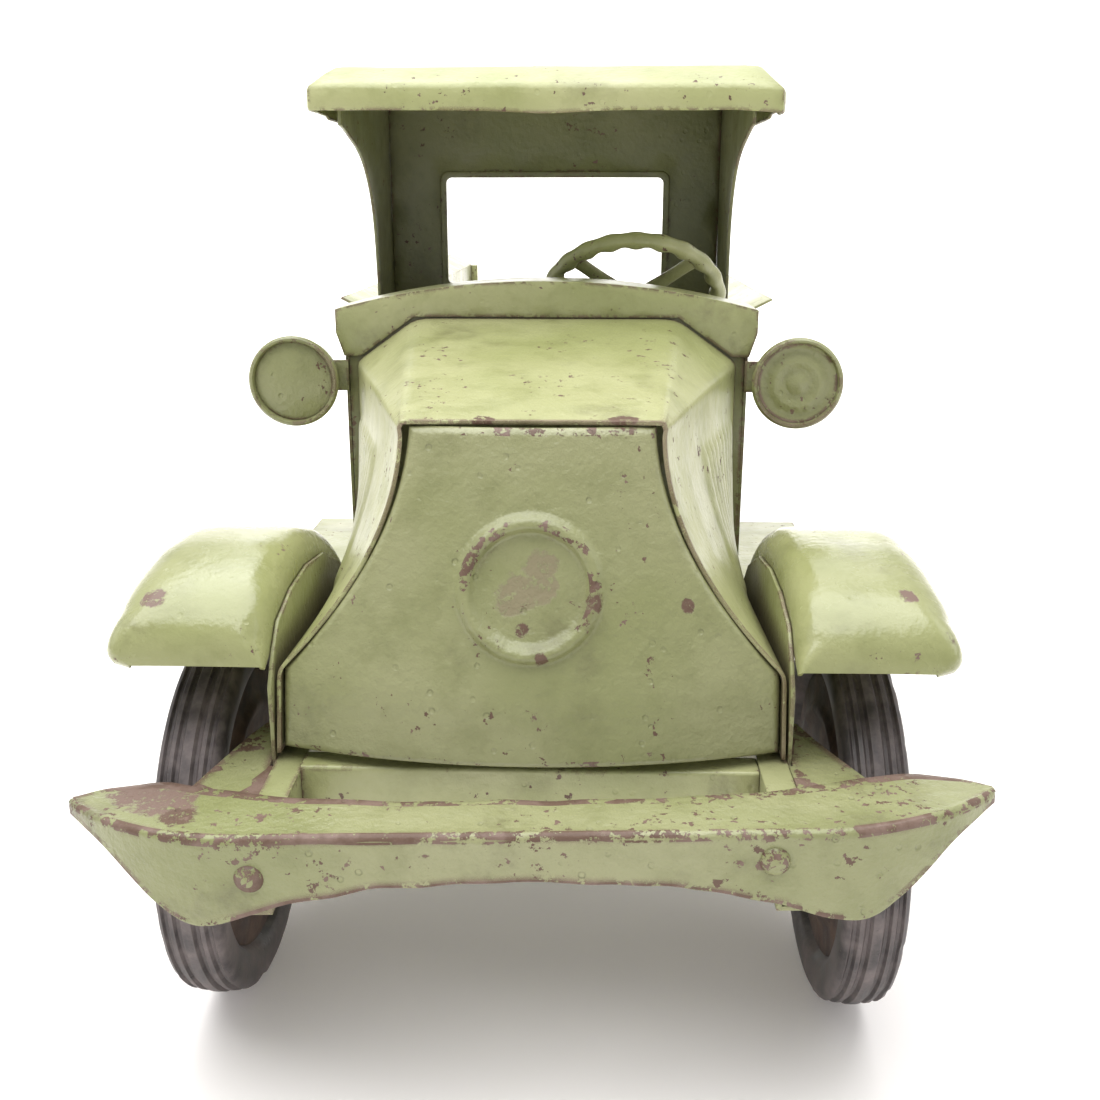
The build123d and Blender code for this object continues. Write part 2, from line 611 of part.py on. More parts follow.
# ======================================================================================
# Steering wheel, column and cap, turning together in the bush
# ======================================================================================
with BuildPart() as steering_wheel:
    with BuildSketch(Plane(WHEEL_AT, x_dir=(1, 0, 0), z_dir=(0, -AXIS_DIR[2], AXIS_DIR[1]))):
        with Locations((WHEEL_R, 0)):
            Circle(RIM_R)
    revolve(axis=Axis(WHEEL_AT, AXIS_DIR))
    with BuildSketch(column_plane(1.2)):
        for angle in (45, 135, 225, 315):
            with Locations(Location((0, 0, 0), (0, 0, 1), angle)):
                with BuildLine():
                    Polyline((3, -3.4), (WHEEL_R, -2.4), (WHEEL_R, 2.4), (3, 3.4),
                             close=True)
                make_face()
    extrude(amount=2.4)
    with BuildSketch(column_plane(4)):
        Circle(5.5)
    extrude(amount=7)
    with BuildSketch(column_plane(4)):
        Circle(COLUMN_R)
    extrude(amount=7, mode=Mode.SUBTRACT)
save(steering_wheel, "steering_wheel")

with BuildPart() as column:
    with BuildSketch(column_plane(COLUMN_LENGTH)):
        Circle(COLUMN_R)
    extrude(amount=COLUMN_LENGTH + 3)
    # retaining collar below the bush
    with BuildSketch(column_plane(BUSH_RUN + BUSH_LENGTH / 2 + 3.4)):
        Circle(COLUMN_R + 1.6)
    extrude(amount=3)
save(column, "steering_column")

with BuildPart() as cap:
    with BuildSketch(column_plane(-3)):
        Circle(3.6)
    extrude(amount=1.8, taper=35)
save(cap, "steering_cap")

# ======================================================================================
# Headlights on flat brackets
# ======================================================================================
BRACKET_Y = HOOD_REAR_Y - 1.6
with BuildPart() as lamp_bracket:
    block(CAB_HALF - SHEET, LAMP_X + 4, BRACKET_Y, HOOD_REAR_Y,
          LAMP_Z - BRACKET_HEIGHT / 2, LAMP_Z + BRACKET_HEIGHT / 2)
save_pair(lamp_bracket, "headlight_bracket")

LAMP_AXIS = Axis((LAMP_X, 0, LAMP_Z), (0, 1, 0))
LAMP_PLANE = Plane((LAMP_X, 0, LAMP_Z), x_dir=(0, 1, 0), z_dir=(1, 0, 0))
with BuildPart() as lamp_shell:
    with BuildSketch(LAMP_PLANE):
        with BuildLine():
            Polyline((BRACKET_Y, 0), (BRACKET_Y, 8), (BRACKET_Y - 3, 11.6),
                     (LAMP_FRONT_Y + 3, 12.6), (LAMP_FRONT_Y + 2.4, LAMP_R),
                     (LAMP_FRONT_Y, LAMP_R), (LAMP_FRONT_Y, LAMP_R - 1.8),
                     (LAMP_FRONT_Y + 3.6, LAMP_R - 1.8), (BRACKET_Y - 3.4, 10.6),
                     (BRACKET_Y - 1, 7.4), (BRACKET_Y - 1, 0), close=True)
        make_face()
    revolve(axis=LAMP_AXIS)
save_pair(lamp_shell, "headlight_shell")

with BuildPart() as lamp_lens:
    with BuildSketch(LAMP_PLANE):
        lens_r = LAMP_R - 1.8
        face_y = LAMP_FRONT_Y + 1.2
        with BuildLine():
            Polyline((face_y - 0.6, 0), (face_y - 0.6, 3), (face_y + 0.4, 4),
                     (face_y + 0.4, 8.4), (face_y - 0.4, 9.6), (face_y, lens_r),
                     (face_y + 1.6, lens_r), (face_y + 1.6, 0), close=True)
        make_face()
    revolve(axis=LAMP_AXIS)
save_pair(lamp_lens, "headlight_lens")


# ======================================================================================
# Front fenders, their inner skirts, and running boards
# ======================================================================================
def fender_section(radius, depth):
    """An inverted U in x and radius: rounded inner shoulder, crown, rounder outer one."""
    outer_r = min(FENDER_OUTER_R, depth - LIP)
    inner_r = min(FENDER_INNER_R, depth - LIP)

    def shell(skin):
        points = [(FENDER_X0 + skin, radius - depth)]
        for angle in (0, 30, 60, 90):
            c, s = math.cos(math.radians(angle)), math.sin(math.radians(angle))
            points.append((FENDER_X0 + inner_r - (inner_r - skin) * c,
                           radius - inner_r + (inner_r - skin) * s))
        for angle in (90, 60, 30, 0):
            c, s = math.cos(math.radians(angle)), math.sin(math.radians(angle))
            points.append((FENDER_X1 - outer_r + (outer_r - skin) * c,
                           radius - outer_r + (outer_r - skin) * s))
        points.append((FENDER_X1 - skin, radius - depth))
        return points

    return shell(0.0) + list(reversed(shell(SHEET)))


def radial_plane(angle):
    """Plane through the fender's axis, its y direction pointing out at the angle."""
    c, s = math.cos(math.radians(angle)), math.sin(math.radians(angle))
    return Plane((0, *FENDER_AXIS), x_dir=(1, 0, 0), z_dir=(0, -s, c))


def crown_point(angle, radius):
    """The y and z of a point on the crown."""
    turn = math.radians(angle)
    return (FENDER_AXIS[0] + radius * math.cos(turn), FENDER_AXIS[1] + radius * math.sin(turn))


with BuildPart() as fender:
    for angle, radius, depth in FENDER_STATIONS:
        with BuildSketch(radial_plane(angle)):
            with BuildLine():
                Polyline(fender_section(radius, depth), close=True)
            make_face()
    loft(ruled=True)
    block(FENDER_X0 - 1, FENDER_X1 + 1, -200, -150, BOARD_Z - 40, BOARD_Z,
          mode=Mode.SUBTRACT)
save_pair(fender, "fender")

SKIRT_REAR_Y = HOOD_REAR_Y - 1.0
with BuildPart() as skirt:
    with BuildSketch(Plane.YZ.offset(CAB_HALF - SHEET)):
        crown = [crown_point(a, r - 8) for a, r, _ in FENDER_STATIONS[1:-2]]
        with BuildLine():
            Polyline([(-292, RAIL_Z0 + 1), (-292, 100)] + crown
                     + [(SKIRT_REAR_Y, 88), (SKIRT_REAR_Y, RAIL_Z0 + 1)], close=True)
        make_face()
    extrude(amount=SHEET)
save_pair(skirt, "fender_skirt")

with BuildPart() as board:
    block(CAB_HALF, BOARD_X1, BOARD_Y0, BOARD_Y1, BOARD_Z - SHEET, BOARD_Z)
    block(CAB_HALF - SHEET, CAB_HALF, HOOD_REAR_Y, BOARD_Y1, BOARD_Z - SHEET, BOARD_Z)
    block(BOARD_X1 - SHEET, BOARD_X1, BOARD_Y0, BOARD_Y1, BOARD_Z - 6, BOARD_Z - SHEET)
save_pair(board, "running_board")

STRAP_WIDTH = 10
with BuildPart() as straps:
    for y in (-165, -90):
        for side in (-1, 1):
            x_in, x_out = sorted((side * RAIL_OUT_X, side * (BOARD_X1 - SHEET)))
            block(x_in, x_out, y, y + STRAP_WIDTH, BOARD_Z - SHEET - PLATE, BOARD_Z - SHEET)
save(straps, "running_board_straps")

# ======================================================================================
# Express bed: sills, floor, front, flared sides, rear posts, hinge and tailgate
# ======================================================================================
SILL_X0, SILL_X1 = 50.0, 60.0
with BuildPart() as sills:
    for side in (-1, 1):
        section = channel(SILL_X0, SILL_X1, RAIL_Z1, BED_FLOOR_Z - SHEET)
        with BuildSketch(front_view(BED_REAR_Y - 6)):
            with BuildLine():
                Polyline([(side * x, z) for x, z in section], close=True)
            make_face()
        extrude(amount=BED_REAR_Y - 6 - BED_Y0 - 4)
save(sills, "bed_sills")

# The floor ends against the front wall and short of the tailgate, and is notched round the
# posts, so that its whole top face is free to carry a load.
with BuildPart() as bed_floor:
    block(-BED_HALF + SHEET, BED_HALF - SHEET, BED_Y0 + SHEET, BED_FLOOR_Y1,
          BED_FLOOR_Z - SHEET, BED_FLOOR_Z)
    for side in (-1, 1):
        x_in, x_out = sorted((side * (BED_HALF - SHEET - POST), side * BED_HALF))
        block(x_in, x_out, BED_REAR_Y - POST_DEPTH, BED_REAR_Y,
              BED_FLOOR_Z - SHEET, BED_FLOOR_Z, mode=Mode.SUBTRACT)
save(bed_floor, "bed_floor")

with BuildPart() as bed_front:
    block(-BED_HALF + SHEET, BED_HALF - SHEET, BED_Y0, BED_Y0 + SHEET,
          BED_FLOOR_Z - SHEET, BED_WALL_Z)
save(bed_front, "bed_front")

with BuildPart() as bed_side:
    with BuildSketch(front_view(BED_REAR_Y)):
        inner_x = BED_HALF - SHEET
        with BuildLine():
            Polyline((inner_x, BED_FLOOR_Z - SHEET), (BED_HALF, BED_FLOOR_Z - SHEET),
                     (BED_HALF, BED_WALL_Z), (FLARE_X, FLARE_Z),
                     (FLARE_X - 0.5, FLARE_Z + 0.9), (inner_x, BED_WALL_Z + 0.65),
                     close=True)
        make_face()
    extrude(amount=BED_REAR_Y - BED_Y0)
save_pair(bed_side, "bed_side")

with BuildPart() as posts:
    for side in (-1, 1):
        x_in, x_out = sorted((side * (BED_HALF - SHEET - POST), side * (BED_HALF - SHEET)))
        block(x_in, x_out, BED_REAR_Y - POST_DEPTH, BED_REAR_Y,
              BED_FLOOR_Z - SHEET, BED_WALL_Z)
save(posts, "bed_posts")

FIXED_KNUCKLES = (-46.0, 46.0)
MOVING_KNUCKLES = (-33.0, 33.0)
KNUCKLE_LENGTH = 12.0
PIN_HALF = 54.0


def knuckle(x, bore):
    """One hinge barrel, bored for the pin."""
    with BuildPart() as barrel:
        with BuildSketch(Plane((x - KNUCKLE_LENGTH / 2, HINGE_Y, HINGE_Z), z_dir=(1, 0, 0))):
            Circle(KNUCKLE_R)
            Circle(bore, mode=Mode.SUBTRACT)
        extrude(amount=KNUCKLE_LENGTH)
    return barrel.part


with BuildPart() as hinge:
    for x in FIXED_KNUCKLES:
        # the leaf butts against the floor's rear edge and passes below the tailgate
        block(x - KNUCKLE_LENGTH / 2, x + KNUCKLE_LENGTH / 2, BED_FLOOR_Y1,
              HINGE_Y - PIN_R - 0.4, HINGE_Z - SHEET, HINGE_Z)
        add(knuckle(x, PIN_R))
save(hinge, "tailgate_hinge")

with BuildPart() as hinge_pin:
    with Locations(Location((0, HINGE_Y, HINGE_Z), (0, 90, 0))):
        Cylinder(PIN_R, 2 * PIN_HALF)
save(hinge_pin, "tailgate_pin")

GATE_Y = 321.6
with BuildPart() as tailgate:
    block(-GATE_HALF, GATE_HALF, GATE_Y, GATE_Y + PLATE, HINGE_Z + 1, GATE_TOP_Z)
    for x in MOVING_KNUCKLES:
        block(x - KNUCKLE_LENGTH / 2, x + KNUCKLE_LENGTH / 2, GATE_Y + PLATE, HINGE_Y,
              HINGE_Z + PIN_R + 0.2, HINGE_Z + PIN_R + 1.1)
        add(knuckle(x, PIN_R + 0.06))
save(tailgate, "tailgate")
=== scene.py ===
import json
import math

import bmesh
import bpy
import numpy as np
from mathutils import Matrix, Vector, noise


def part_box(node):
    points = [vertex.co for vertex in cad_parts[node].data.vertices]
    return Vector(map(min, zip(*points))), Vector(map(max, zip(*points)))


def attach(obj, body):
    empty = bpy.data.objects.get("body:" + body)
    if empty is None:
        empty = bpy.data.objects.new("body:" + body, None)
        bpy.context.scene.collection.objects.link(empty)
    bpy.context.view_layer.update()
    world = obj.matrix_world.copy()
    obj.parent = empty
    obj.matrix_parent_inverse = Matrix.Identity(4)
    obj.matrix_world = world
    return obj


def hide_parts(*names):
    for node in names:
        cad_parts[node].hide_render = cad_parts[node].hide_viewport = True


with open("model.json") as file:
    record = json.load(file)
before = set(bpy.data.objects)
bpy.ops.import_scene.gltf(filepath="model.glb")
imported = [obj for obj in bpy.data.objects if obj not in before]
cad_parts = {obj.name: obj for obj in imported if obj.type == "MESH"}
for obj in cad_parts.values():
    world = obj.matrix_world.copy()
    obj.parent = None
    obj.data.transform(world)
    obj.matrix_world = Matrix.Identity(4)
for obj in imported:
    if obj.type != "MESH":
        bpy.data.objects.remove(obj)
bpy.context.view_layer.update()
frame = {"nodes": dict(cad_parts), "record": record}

# An aged, green-painted pressed-steel toy truck. Everything is in metres in the CAD frame:
# +Z up, the truck faces -Y, and its left side is +X. Shapes are written in millimetres.
MM = 0.001
SHEET = 0.9                 # thickness of the visible body sheet, just inside the CAD's


def box_mm(node):
    """Lowest and highest corners of a CAD node in millimetres."""
    low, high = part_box(node)
    return np.array(low) / MM, np.array(high) / MM


# ======================================================================================
# Mesh helpers
# ======================================================================================
def make_object(name, verts_mm, faces):
    mesh = bpy.data.meshes.new(name)
    mesh.from_pydata([tuple(v) for v in np.asarray(verts_mm) * MM], [], faces)
    mesh.validate()
    obj = bpy.data.objects.new(name, mesh)
    bpy.context.scene.collection.objects.link(obj)
    return obj


def grid_object(name, points, closed=False):
    """A surface through rows of points; closed joins the last column to the first."""
    rows, columns = points.shape[:2]
    faces = []
    for i in range(rows - 1):
        for j in range(columns if closed else columns - 1):
            k = (j + 1) % columns
            faces.append((i * columns + j, i * columns + k,
                          (i + 1) * columns + k, (i + 1) * columns + j))
    return make_object(name, points.reshape(-1, 3), faces)


def bake(obj):
    """Applies the object's modifiers."""
    graph = bpy.context.evaluated_depsgraph_get()
    mesh = bpy.data.meshes.new_from_object(obj.evaluated_get(graph))
    obj.modifiers.clear()
    obj.data = mesh


def face_away(obj, inside_mm):
    """Turns the faces so that they look away from a point inside the piece."""
    inside = Vector(inside_mm) * MM
    total = sum(f.area * f.normal.dot(f.center - inside) for f in obj.data.polygons)
    if total < 0:
        obj.data.flip_normals()


def thicken(obj, thickness, inside_mm):
    """Gives a surface its sheet thickness, inward from the face that shows."""
    face_away(obj, inside_mm)
    modifier = obj.modifiers.new("sheet", "SOLIDIFY")
    modifier.thickness = thickness * MM
    modifier.offset = -1
    modifier.use_even_offset = False
    bake(obj)


def round_edges(obj, width, segments=2, angle=35):
    modifier = obj.modifiers.new("edges", "BEVEL")
    modifier.width = width * MM
    modifier.segments = segments
    modifier.limit_method = "ANGLE"
    modifier.angle_limit = math.radians(angle)
    modifier.harden_normals = False
    bake(obj)


def smooth(obj, angle=40):
    obj.data.shade_smooth()
    obj.data.set_sharp_from_angle(angle=math.radians(angle))


def settle(obj, body, material, slot, *replaced):
    """Gives a finished piece its material, its body and the CAD nodes that it stands for."""
    obj.data.materials.clear()
    obj.data.materials.append(material)
    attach(obj, body)
    if replaced:
        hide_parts(*replaced)
    return obj


def replica(node, material, slot, body="chassis", width=0.22, wobble=0.0, cell=9.0):
    """A softened copy of a CAD node: eased edges and, with a wobble, hand-beaten sheet."""
    source = frame["nodes"][node]
    mesh = source.data.copy()
    obj = bpy.data.objects.new(f"{node}_sheet", mesh)
    bpy.context.scene.collection.objects.link(obj)
    bm = bmesh.new()
    bm.from_mesh(mesh)
    bmesh.ops.remove_doubles(bm, verts=bm.verts, dist=0.00001)
    bmesh.ops.dissolve_limit(bm, angle_limit=math.radians(1.0), verts=bm.verts, edges=bm.edges)
    bm.to_mesh(mesh)
    bm.free()
    round_edges(obj, width)
    if wobble:
        beat(obj, wobble, cell)
    smooth(obj)
    return settle(obj, body, material, slot, node)


def beat(obj, depth, cell):
    """Divides a sheet's large faces and waves both skins of the sheet together."""
    bm = bmesh.new()
    bm.from_mesh(obj.data)
    bmesh.ops.triangulate(bm, faces=bm.faces)
    for _ in range(4):
        long_edges = [e for e in bm.edges if e.calc_length() > cell * MM]
        if not long_edges:
            break
        bmesh.ops.subdivide_edges(bm, edges=long_edges, cuts=1)
        bmesh.ops.triangulate(bm, faces=bm.faces)
    for v in bm.verts:
        v.co += noise.noise_vector(v.co * 22.0) * depth * MM
    bm.to_mesh(obj.data)
    bm.free()


def lathe(name, profile, centre, steps=96, ripple=None):
    """A closed section of (x offset, radius) turned about an X axis through centre."""
    points = np.zeros((len(profile), steps, 3))
    for i, (offset, radius) in enumerate(profile):
        for j in range(steps):
            turn = 2 * math.pi * j / steps
            r = radius + (ripple(offset, radius, turn) if ripple else 0.0)
            points[i, j] = (centre[0] + offset, centre[1] + r * math.cos(turn),
                            centre[2] + r * math.sin(turn))
    return grid_object(name, points, closed=True)


def blur_columns(points, passes):
    """Rounds the creases that run along a grid by averaging each point with its neighbours."""
    for _ in range(passes):
        blurred = points.copy()
        blurred[:, 1:-1] = (points[:, :-2] + 2 * points[:, 1:-1] + points[:, 2:]) / 4
        points = blurred
    return points


# ======================================================================================
# Materials
# ======================================================================================
class Shader:
    """A node material under construction; the helpers return output sockets."""

    def __init__(self, name):
        self.material = bpy.data.materials.new(name)
        self.material.use_nodes = True
        self.tree = self.material.node_tree
        self.bsdf = self.tree.nodes["Principled BSDF"]
        self.place = self.add("ShaderNodeTexCoord").outputs["Object"]

    def add(self, kind, **settings):
        node = self.tree.nodes.new(kind)
        for key, value in settings.items():
            setattr(node, key, value)
        return node

    def put(self, socket, value):
        if isinstance(value, bpy.types.NodeSocket):
            self.tree.links.new(value, socket)
        else:
            socket.default_value = value

    def noise(self, scale, detail=4.0, roughness=0.55, distortion=0.0):
        node = self.add("ShaderNodeTexNoise")
        self.put(node.inputs["Vector"], self.place)
        for key, value in (("Scale", scale), ("Detail", detail), ("Roughness", roughness),
                           ("Distortion", distortion)):
            node.inputs[key].default_value = value
        return node.outputs["Fac"]

    def cells(self, scale):
        node = self.add("ShaderNodeTexVoronoi")
        self.put(node.inputs["Vector"], self.place)
        node.inputs["Scale"].default_value = scale
        return node.outputs["Distance"]

    def band(self, value, low, high, start=0.0, end=1.0):
        """start below low, end above high, and a smooth step between them."""
        node = self.add("ShaderNodeMapRange", interpolation_type="SMOOTHSTEP")
        for key, given in (("Value", value), ("From Min", low), ("From Max", high),
                           ("To Min", start), ("To Max", end)):
            self.put(node.inputs[key], given)
        return node.outputs["Result"]

    def calc(self, operation, a, b=0.0, clamp=False):
        node = self.add("ShaderNodeMath", operation=operation, use_clamp=clamp)
        self.put(node.inputs[0], a)
        self.put(node.inputs[1], b)
        return node.outputs["Value"]

    def blend(self, factor, a, b):
        node = self.add("ShaderNodeMix", data_type="RGBA")
        self.put(node.inputs["Factor"], factor)
        for index, value in ((6, a), (7, b)):
            if not isinstance(value, bpy.types.NodeSocket):
                value = (*value, 1.0)
            self.put(node.inputs[index], value)
        return node.outputs[2]

    def bump(self, height, distance_mm, strength=1.0, normal=None):
        node = self.add("ShaderNodeBump")
        node.inputs["Strength"].default_value = strength
        node.inputs["Distance"].default_value = distance_mm * MM
        self.put(node.inputs["Height"], height)
        if normal is not None:
            self.put(node.inputs["Normal"], normal)
        return node.outputs["Normal"]

    def edges(self, radius_mm):
        """1 on sharp edges, 0 on flat sheet."""
        bevel = self.add("ShaderNodeBevel", samples=6)
        bevel.inputs["Radius"].default_value = radius_mm * MM
        flat = self.add("ShaderNodeNewGeometry").outputs["Normal"]
        dot = self.add("ShaderNodeVectorMath", operation="DOT_PRODUCT")
        self.put(dot.inputs[0], bevel.outputs["Normal"])
        self.put(dot.inputs[1], flat)
        return self.band(dot.outputs["Value"], 0.996, 0.93)

    def crests(self):
        """1 along the crest of a rounded edge, 0 on flat sheet."""
        geometry = self.add("ShaderNodeNewGeometry")
        return self.band(geometry.outputs["Pointiness"], 0.506, 0.514)

    def hollows(self, distance_mm):
        """1 in corners and gaps, 0 on open sheet."""
        node = self.add("ShaderNodeAmbientOcclusion", samples=6)
        node.inputs["Distance"].default_value = distance_mm * MM
        return self.band(node.outputs["AO"], 0.80, 0.25)

    def near(self, centre_mm, radius_mm, ragged=1.3):
        """1 inside a ragged spot round a point."""
        node = self.add("ShaderNodeVectorMath", operation="DISTANCE")
        self.put(node.inputs[0], self.place)
        node.inputs[1].default_value = Vector(centre_mm) * MM
        noisy = self.calc("MULTIPLY", self.noise(150.0, 6.0, 0.75), radius_mm * MM * ragged * 2)
        total = self.calc("ADD", node.outputs["Value"], noisy)
        edge = radius_mm * MM * (1 + ragged)
        return self.band(total, edge * 1.04, edge * 0.92)


# Linear colours
GREEN = (0.300, 0.318, 0.130)
GREEN_PALE = (0.375, 0.380, 0.190)
GREEN_DEEP = (0.215, 0.228, 0.082)
PRIMER = (0.118, 0.068, 0.044)
PRIMER_PALE = (0.180, 0.117, 0.090)
SANDY = (0.235, 0.205, 0.118)
# dark brown for painted shade in corners and gaps, and for grime stains
SHADE_GRIME_BROWN = (0.075, 0.058, 0.030)


def enamel(name, tone=1.0, gloss=0.30, chips=0.5, wear=0.5, shade_and_grime=0.5, texture=0.5, spots=(),
           wear_mm=1.9, crest_wear=False, coat=0.30):
    """Old brushed enamel: mottled, orange-peeled, pitted, chipped to primer at the edges."""
    s = Shader(name)

    def toned(colour):
        return tuple(c * tone for c in colour)

    broad = s.band(s.noise(16.0, 3.0), 0.35, 0.68)
    paint = s.blend(broad, toned(GREEN_PALE), toned(GREEN))
    mottle = s.band(s.noise(85.0, 5.0, 0.6), 0.44, 0.72, 0.0, 0.45)
    paint = s.blend(mottle, paint, toned(GREEN_DEEP))

    # grime lies in corners, gaps and faint stains
    # painted shade: an occlusion mask darkens corners and gaps towards dark brown; faint noise
    # stains add real grime
    stain = s.band(s.noise(42.0, 6.0, 0.65), 0.54, 0.74, 0.0, 0.55)
    darkened = s.calc("MULTIPLY", s.calc("MAXIMUM", s.hollows(7.0), stain), shade_and_grime, clamp=True)
    paint = s.blend(darkened, paint, SHADE_GRIME_BROWN)

    # chips: ragged wear along edges, sparse clusters on open sheet, and named spots
    ragged = s.noise(330.0, 6.0, 0.72)
    stretch = s.band(s.noise(34.0, 3.0), 0.40, 0.60, -0.07, 0.07)
    uneven = s.calc("ADD", ragged, stretch)
    limit = 0.62 - 0.16 * wear
    rubbed = s.edges(wear_mm)
    if crest_wear:
        rubbed = s.calc("MAXIMUM", rubbed, s.crests())
    rim = s.calc("MULTIPLY", rubbed, s.band(uneven, limit, limit + 0.035))
    zone = s.band(s.noise(55.0, 3.0), 0.50, 0.60)
    speck = 0.655 - 0.055 * chips
    flecks = s.calc("MULTIPLY", zone, s.band(s.noise(390.0, 5.0, 0.65), speck, speck + 0.018))
    bare = s.calc("GREATER_THAN", s.calc("MAXIMUM", rim, flecks), 0.45)
    spot_total = None
    for centre, radius, colour in spots:
        spot = s.near(centre, radius)
        speckled = s.calc("MULTIPLY", spot, s.band(s.noise(420.0, 5.0, 0.75), 0.38, 0.47))
        paint = s.blend(speckled, paint, colour)
        spot_total = speckled if spot_total is None else s.calc("MAXIMUM", spot_total, speckled)
    primer = s.blend(s.band(s.noise(140.0, 4.0), 0.42, 0.62), PRIMER, PRIMER_PALE)
    colour = s.blend(bare, paint, primer)
    exposed = bare if spot_total is None else s.calc("MAXIMUM", bare, spot_total)

    s.put(s.bsdf.inputs["Base Color"], colour)
    satin = s.band(s.noise(60.0, 5.0, 0.6), 0.35, 0.70, gloss, gloss + 0.16)
    rough = s.calc("MAXIMUM", satin, s.calc("MULTIPLY", exposed, 0.78))
    s.put(s.bsdf.inputs["Roughness"], s.calc("MAXIMUM", rough, s.calc("MULTIPLY", darkened, 0.7)))
    s.bsdf.inputs["Coat Weight"].default_value = coat
    s.bsdf.inputs["Coat Roughness"].default_value = 0.16

    # relief: slow waves in the sheet, orange peel, pits and the step at each chip
    waves = s.bump(s.noise(26.0, 2.0), 1.1, 0.45)
    peel = s.bump(s.noise(430.0, 3.0, 0.6), 0.22 + 0.34 * texture, 0.75, waves)
    pits = s.band(s.cells(210.0), 0.10, 0.20)
    sparse = s.band(s.noise(120.0, 2.0), 0.50, 0.60)
    pitted = s.calc("SUBTRACT", 1.0, s.calc("MULTIPLY", s.calc("SUBTRACT", 1.0, pits), sparse))
    pits_bump = s.bump(pitted, 0.30, min(0.5 * texture + 0.25, 1.0), peel)
    step = s.bump(s.calc("SUBTRACT", 1.0, exposed), 0.12, 0.7, pits_bump)
    s.put(s.bsdf.inputs["Normal"], step)
    return s.material


def rubber():
    """Perished tyre: dusty grey-purple black with fine cracks."""
    s = Shader("tyre_rubber_old")
    dust = s.band(s.noise(70.0, 6.0, 0.65), 0.38, 0.70)
    colour = s.blend(dust, (0.046, 0.040, 0.040), (0.205, 0.172, 0.168))
    worn = s.blend(s.calc("MULTIPLY", s.edges(0.8), 0.5), colour, (0.14, 0.115, 0.11))
    s.put(s.bsdf.inputs["Base Color"], worn)
    s.put(s.bsdf.inputs["Roughness"], s.band(dust, 0.0, 1.0, 0.46, 0.78))
    cracks = s.bump(s.band(s.cells(330.0), 0.02, 0.16), 0.30, 0.45)
    grain = s.bump(s.noise(900.0, 3.0), 0.12, 0.5, cracks)
    s.put(s.bsdf.inputs["Normal"], grain)
    return s.material


def rusty(name, fresh, old, rough=0.78):
    """Rusted bare steel."""
    s = Shader(name)
    colour = s.blend(s.band(s.noise(75.0, 7.0, 0.7), 0.38, 0.66), old, fresh)
    # painted shade: hollows are darkened towards the dark brown by an occlusion mask
    darkened = s.blend(s.calc("MULTIPLY", s.hollows(5.0), 0.6), colour, SHADE_GRIME_BROWN)
    s.put(s.bsdf.inputs["Base Color"], darkened)
    s.put(s.bsdf.inputs["Roughness"], s.band(s.noise(130.0, 4.0), 0.3, 0.7, rough - 0.16, rough))
    s.put(s.bsdf.inputs["Normal"], s.bump(s.noise(460.0, 6.0, 0.7), 0.30, 0.6))
    return s.material


BODY = enamel("enamel_body", tone=1.05, chips=0.6, wear=0.7, shade_and_grime=0.70)
HOOD_TOP = enamel("enamel_hood", tone=1.06, chips=0.7, wear=1.3, gloss=0.34, shade_and_grime=0.60,
                  wear_mm=2.4, coat=0.06, spots=(((22.0, -274.0, 161.5), 3.4, PRIMER),
                                                 ((-12.0, -274.0, 161.5), 2.6, PRIMER)))
# painted shade: tone 0.75 makes the front-facing hood front a darker copy of the green enamel
HOOD_FRONT_SHADED_MAT = enamel("enamel_hood_front_painted_shade", tone=0.75, chips=0.45, wear=0.30, texture=1.5, gloss=0.34,
              shade_and_grime=0.65, crest_wear=True,
              spots=(((2.5, -288.2, 129.5), 3.8, SANDY), ((-3.0, -290.2, 123.0), 4.6, SANDY),
                     ((3.5, -289.9, 125.0), 3.4, SANDY), ((-1.5, -292.9, 116.0), 1.7, PRIMER),
                     ((15.0, -291.3, 122.0), 2.2, PRIMER), ((3.0, -296.2, 110.0), 1.8, PRIMER),
                     ((36.5, -287.6, 120.0), 1.6, PRIMER)))
FENDER = enamel("enamel_fender", tone=0.92, chips=0.25, wear=0.35, gloss=0.17, texture=0.2,
                spots=(((-90.0, -284.5, 120.1), 3.0, PRIMER_PALE),
                       ((89.0, -281.5, 121.2), 2.2, PRIMER_PALE),
                       ((99.0, -291.7, 114.3), 2.6, PRIMER)))
BUMPER_MAT = enamel("enamel_bumper", tone=0.77, chips=1.25, wear=1.10, texture=1.6, gloss=0.36,
                    shade_and_grime=0.95, wear_mm=3.0, crest_wear=True,
                    spots=(((-88.0, -308.0, 80.5), 6.5, PRIMER_PALE),
                           ((-85.0, -302.0, 80.5), 7.0, PRIMER_PALE),
                           ((-80.0, -312.0, 80.6), 6.5, PRIMER_PALE),
                           ((-76.0, -320.0, 80.4), 4.0, PRIMER)))
LAMP_MAT = enamel("enamel_lamp", tone=0.78, chips=0.8, wear=1.0, texture=1.7, gloss=0.34)
# painted shade: tone 0.58 makes the cab a darker copy of the green enamel for the shade inside the
# cab
CAB_SHADED_MAT = enamel("enamel_cab_painted_shade", tone=0.58, chips=0.55, wear=0.7, shade_and_grime=0.60)
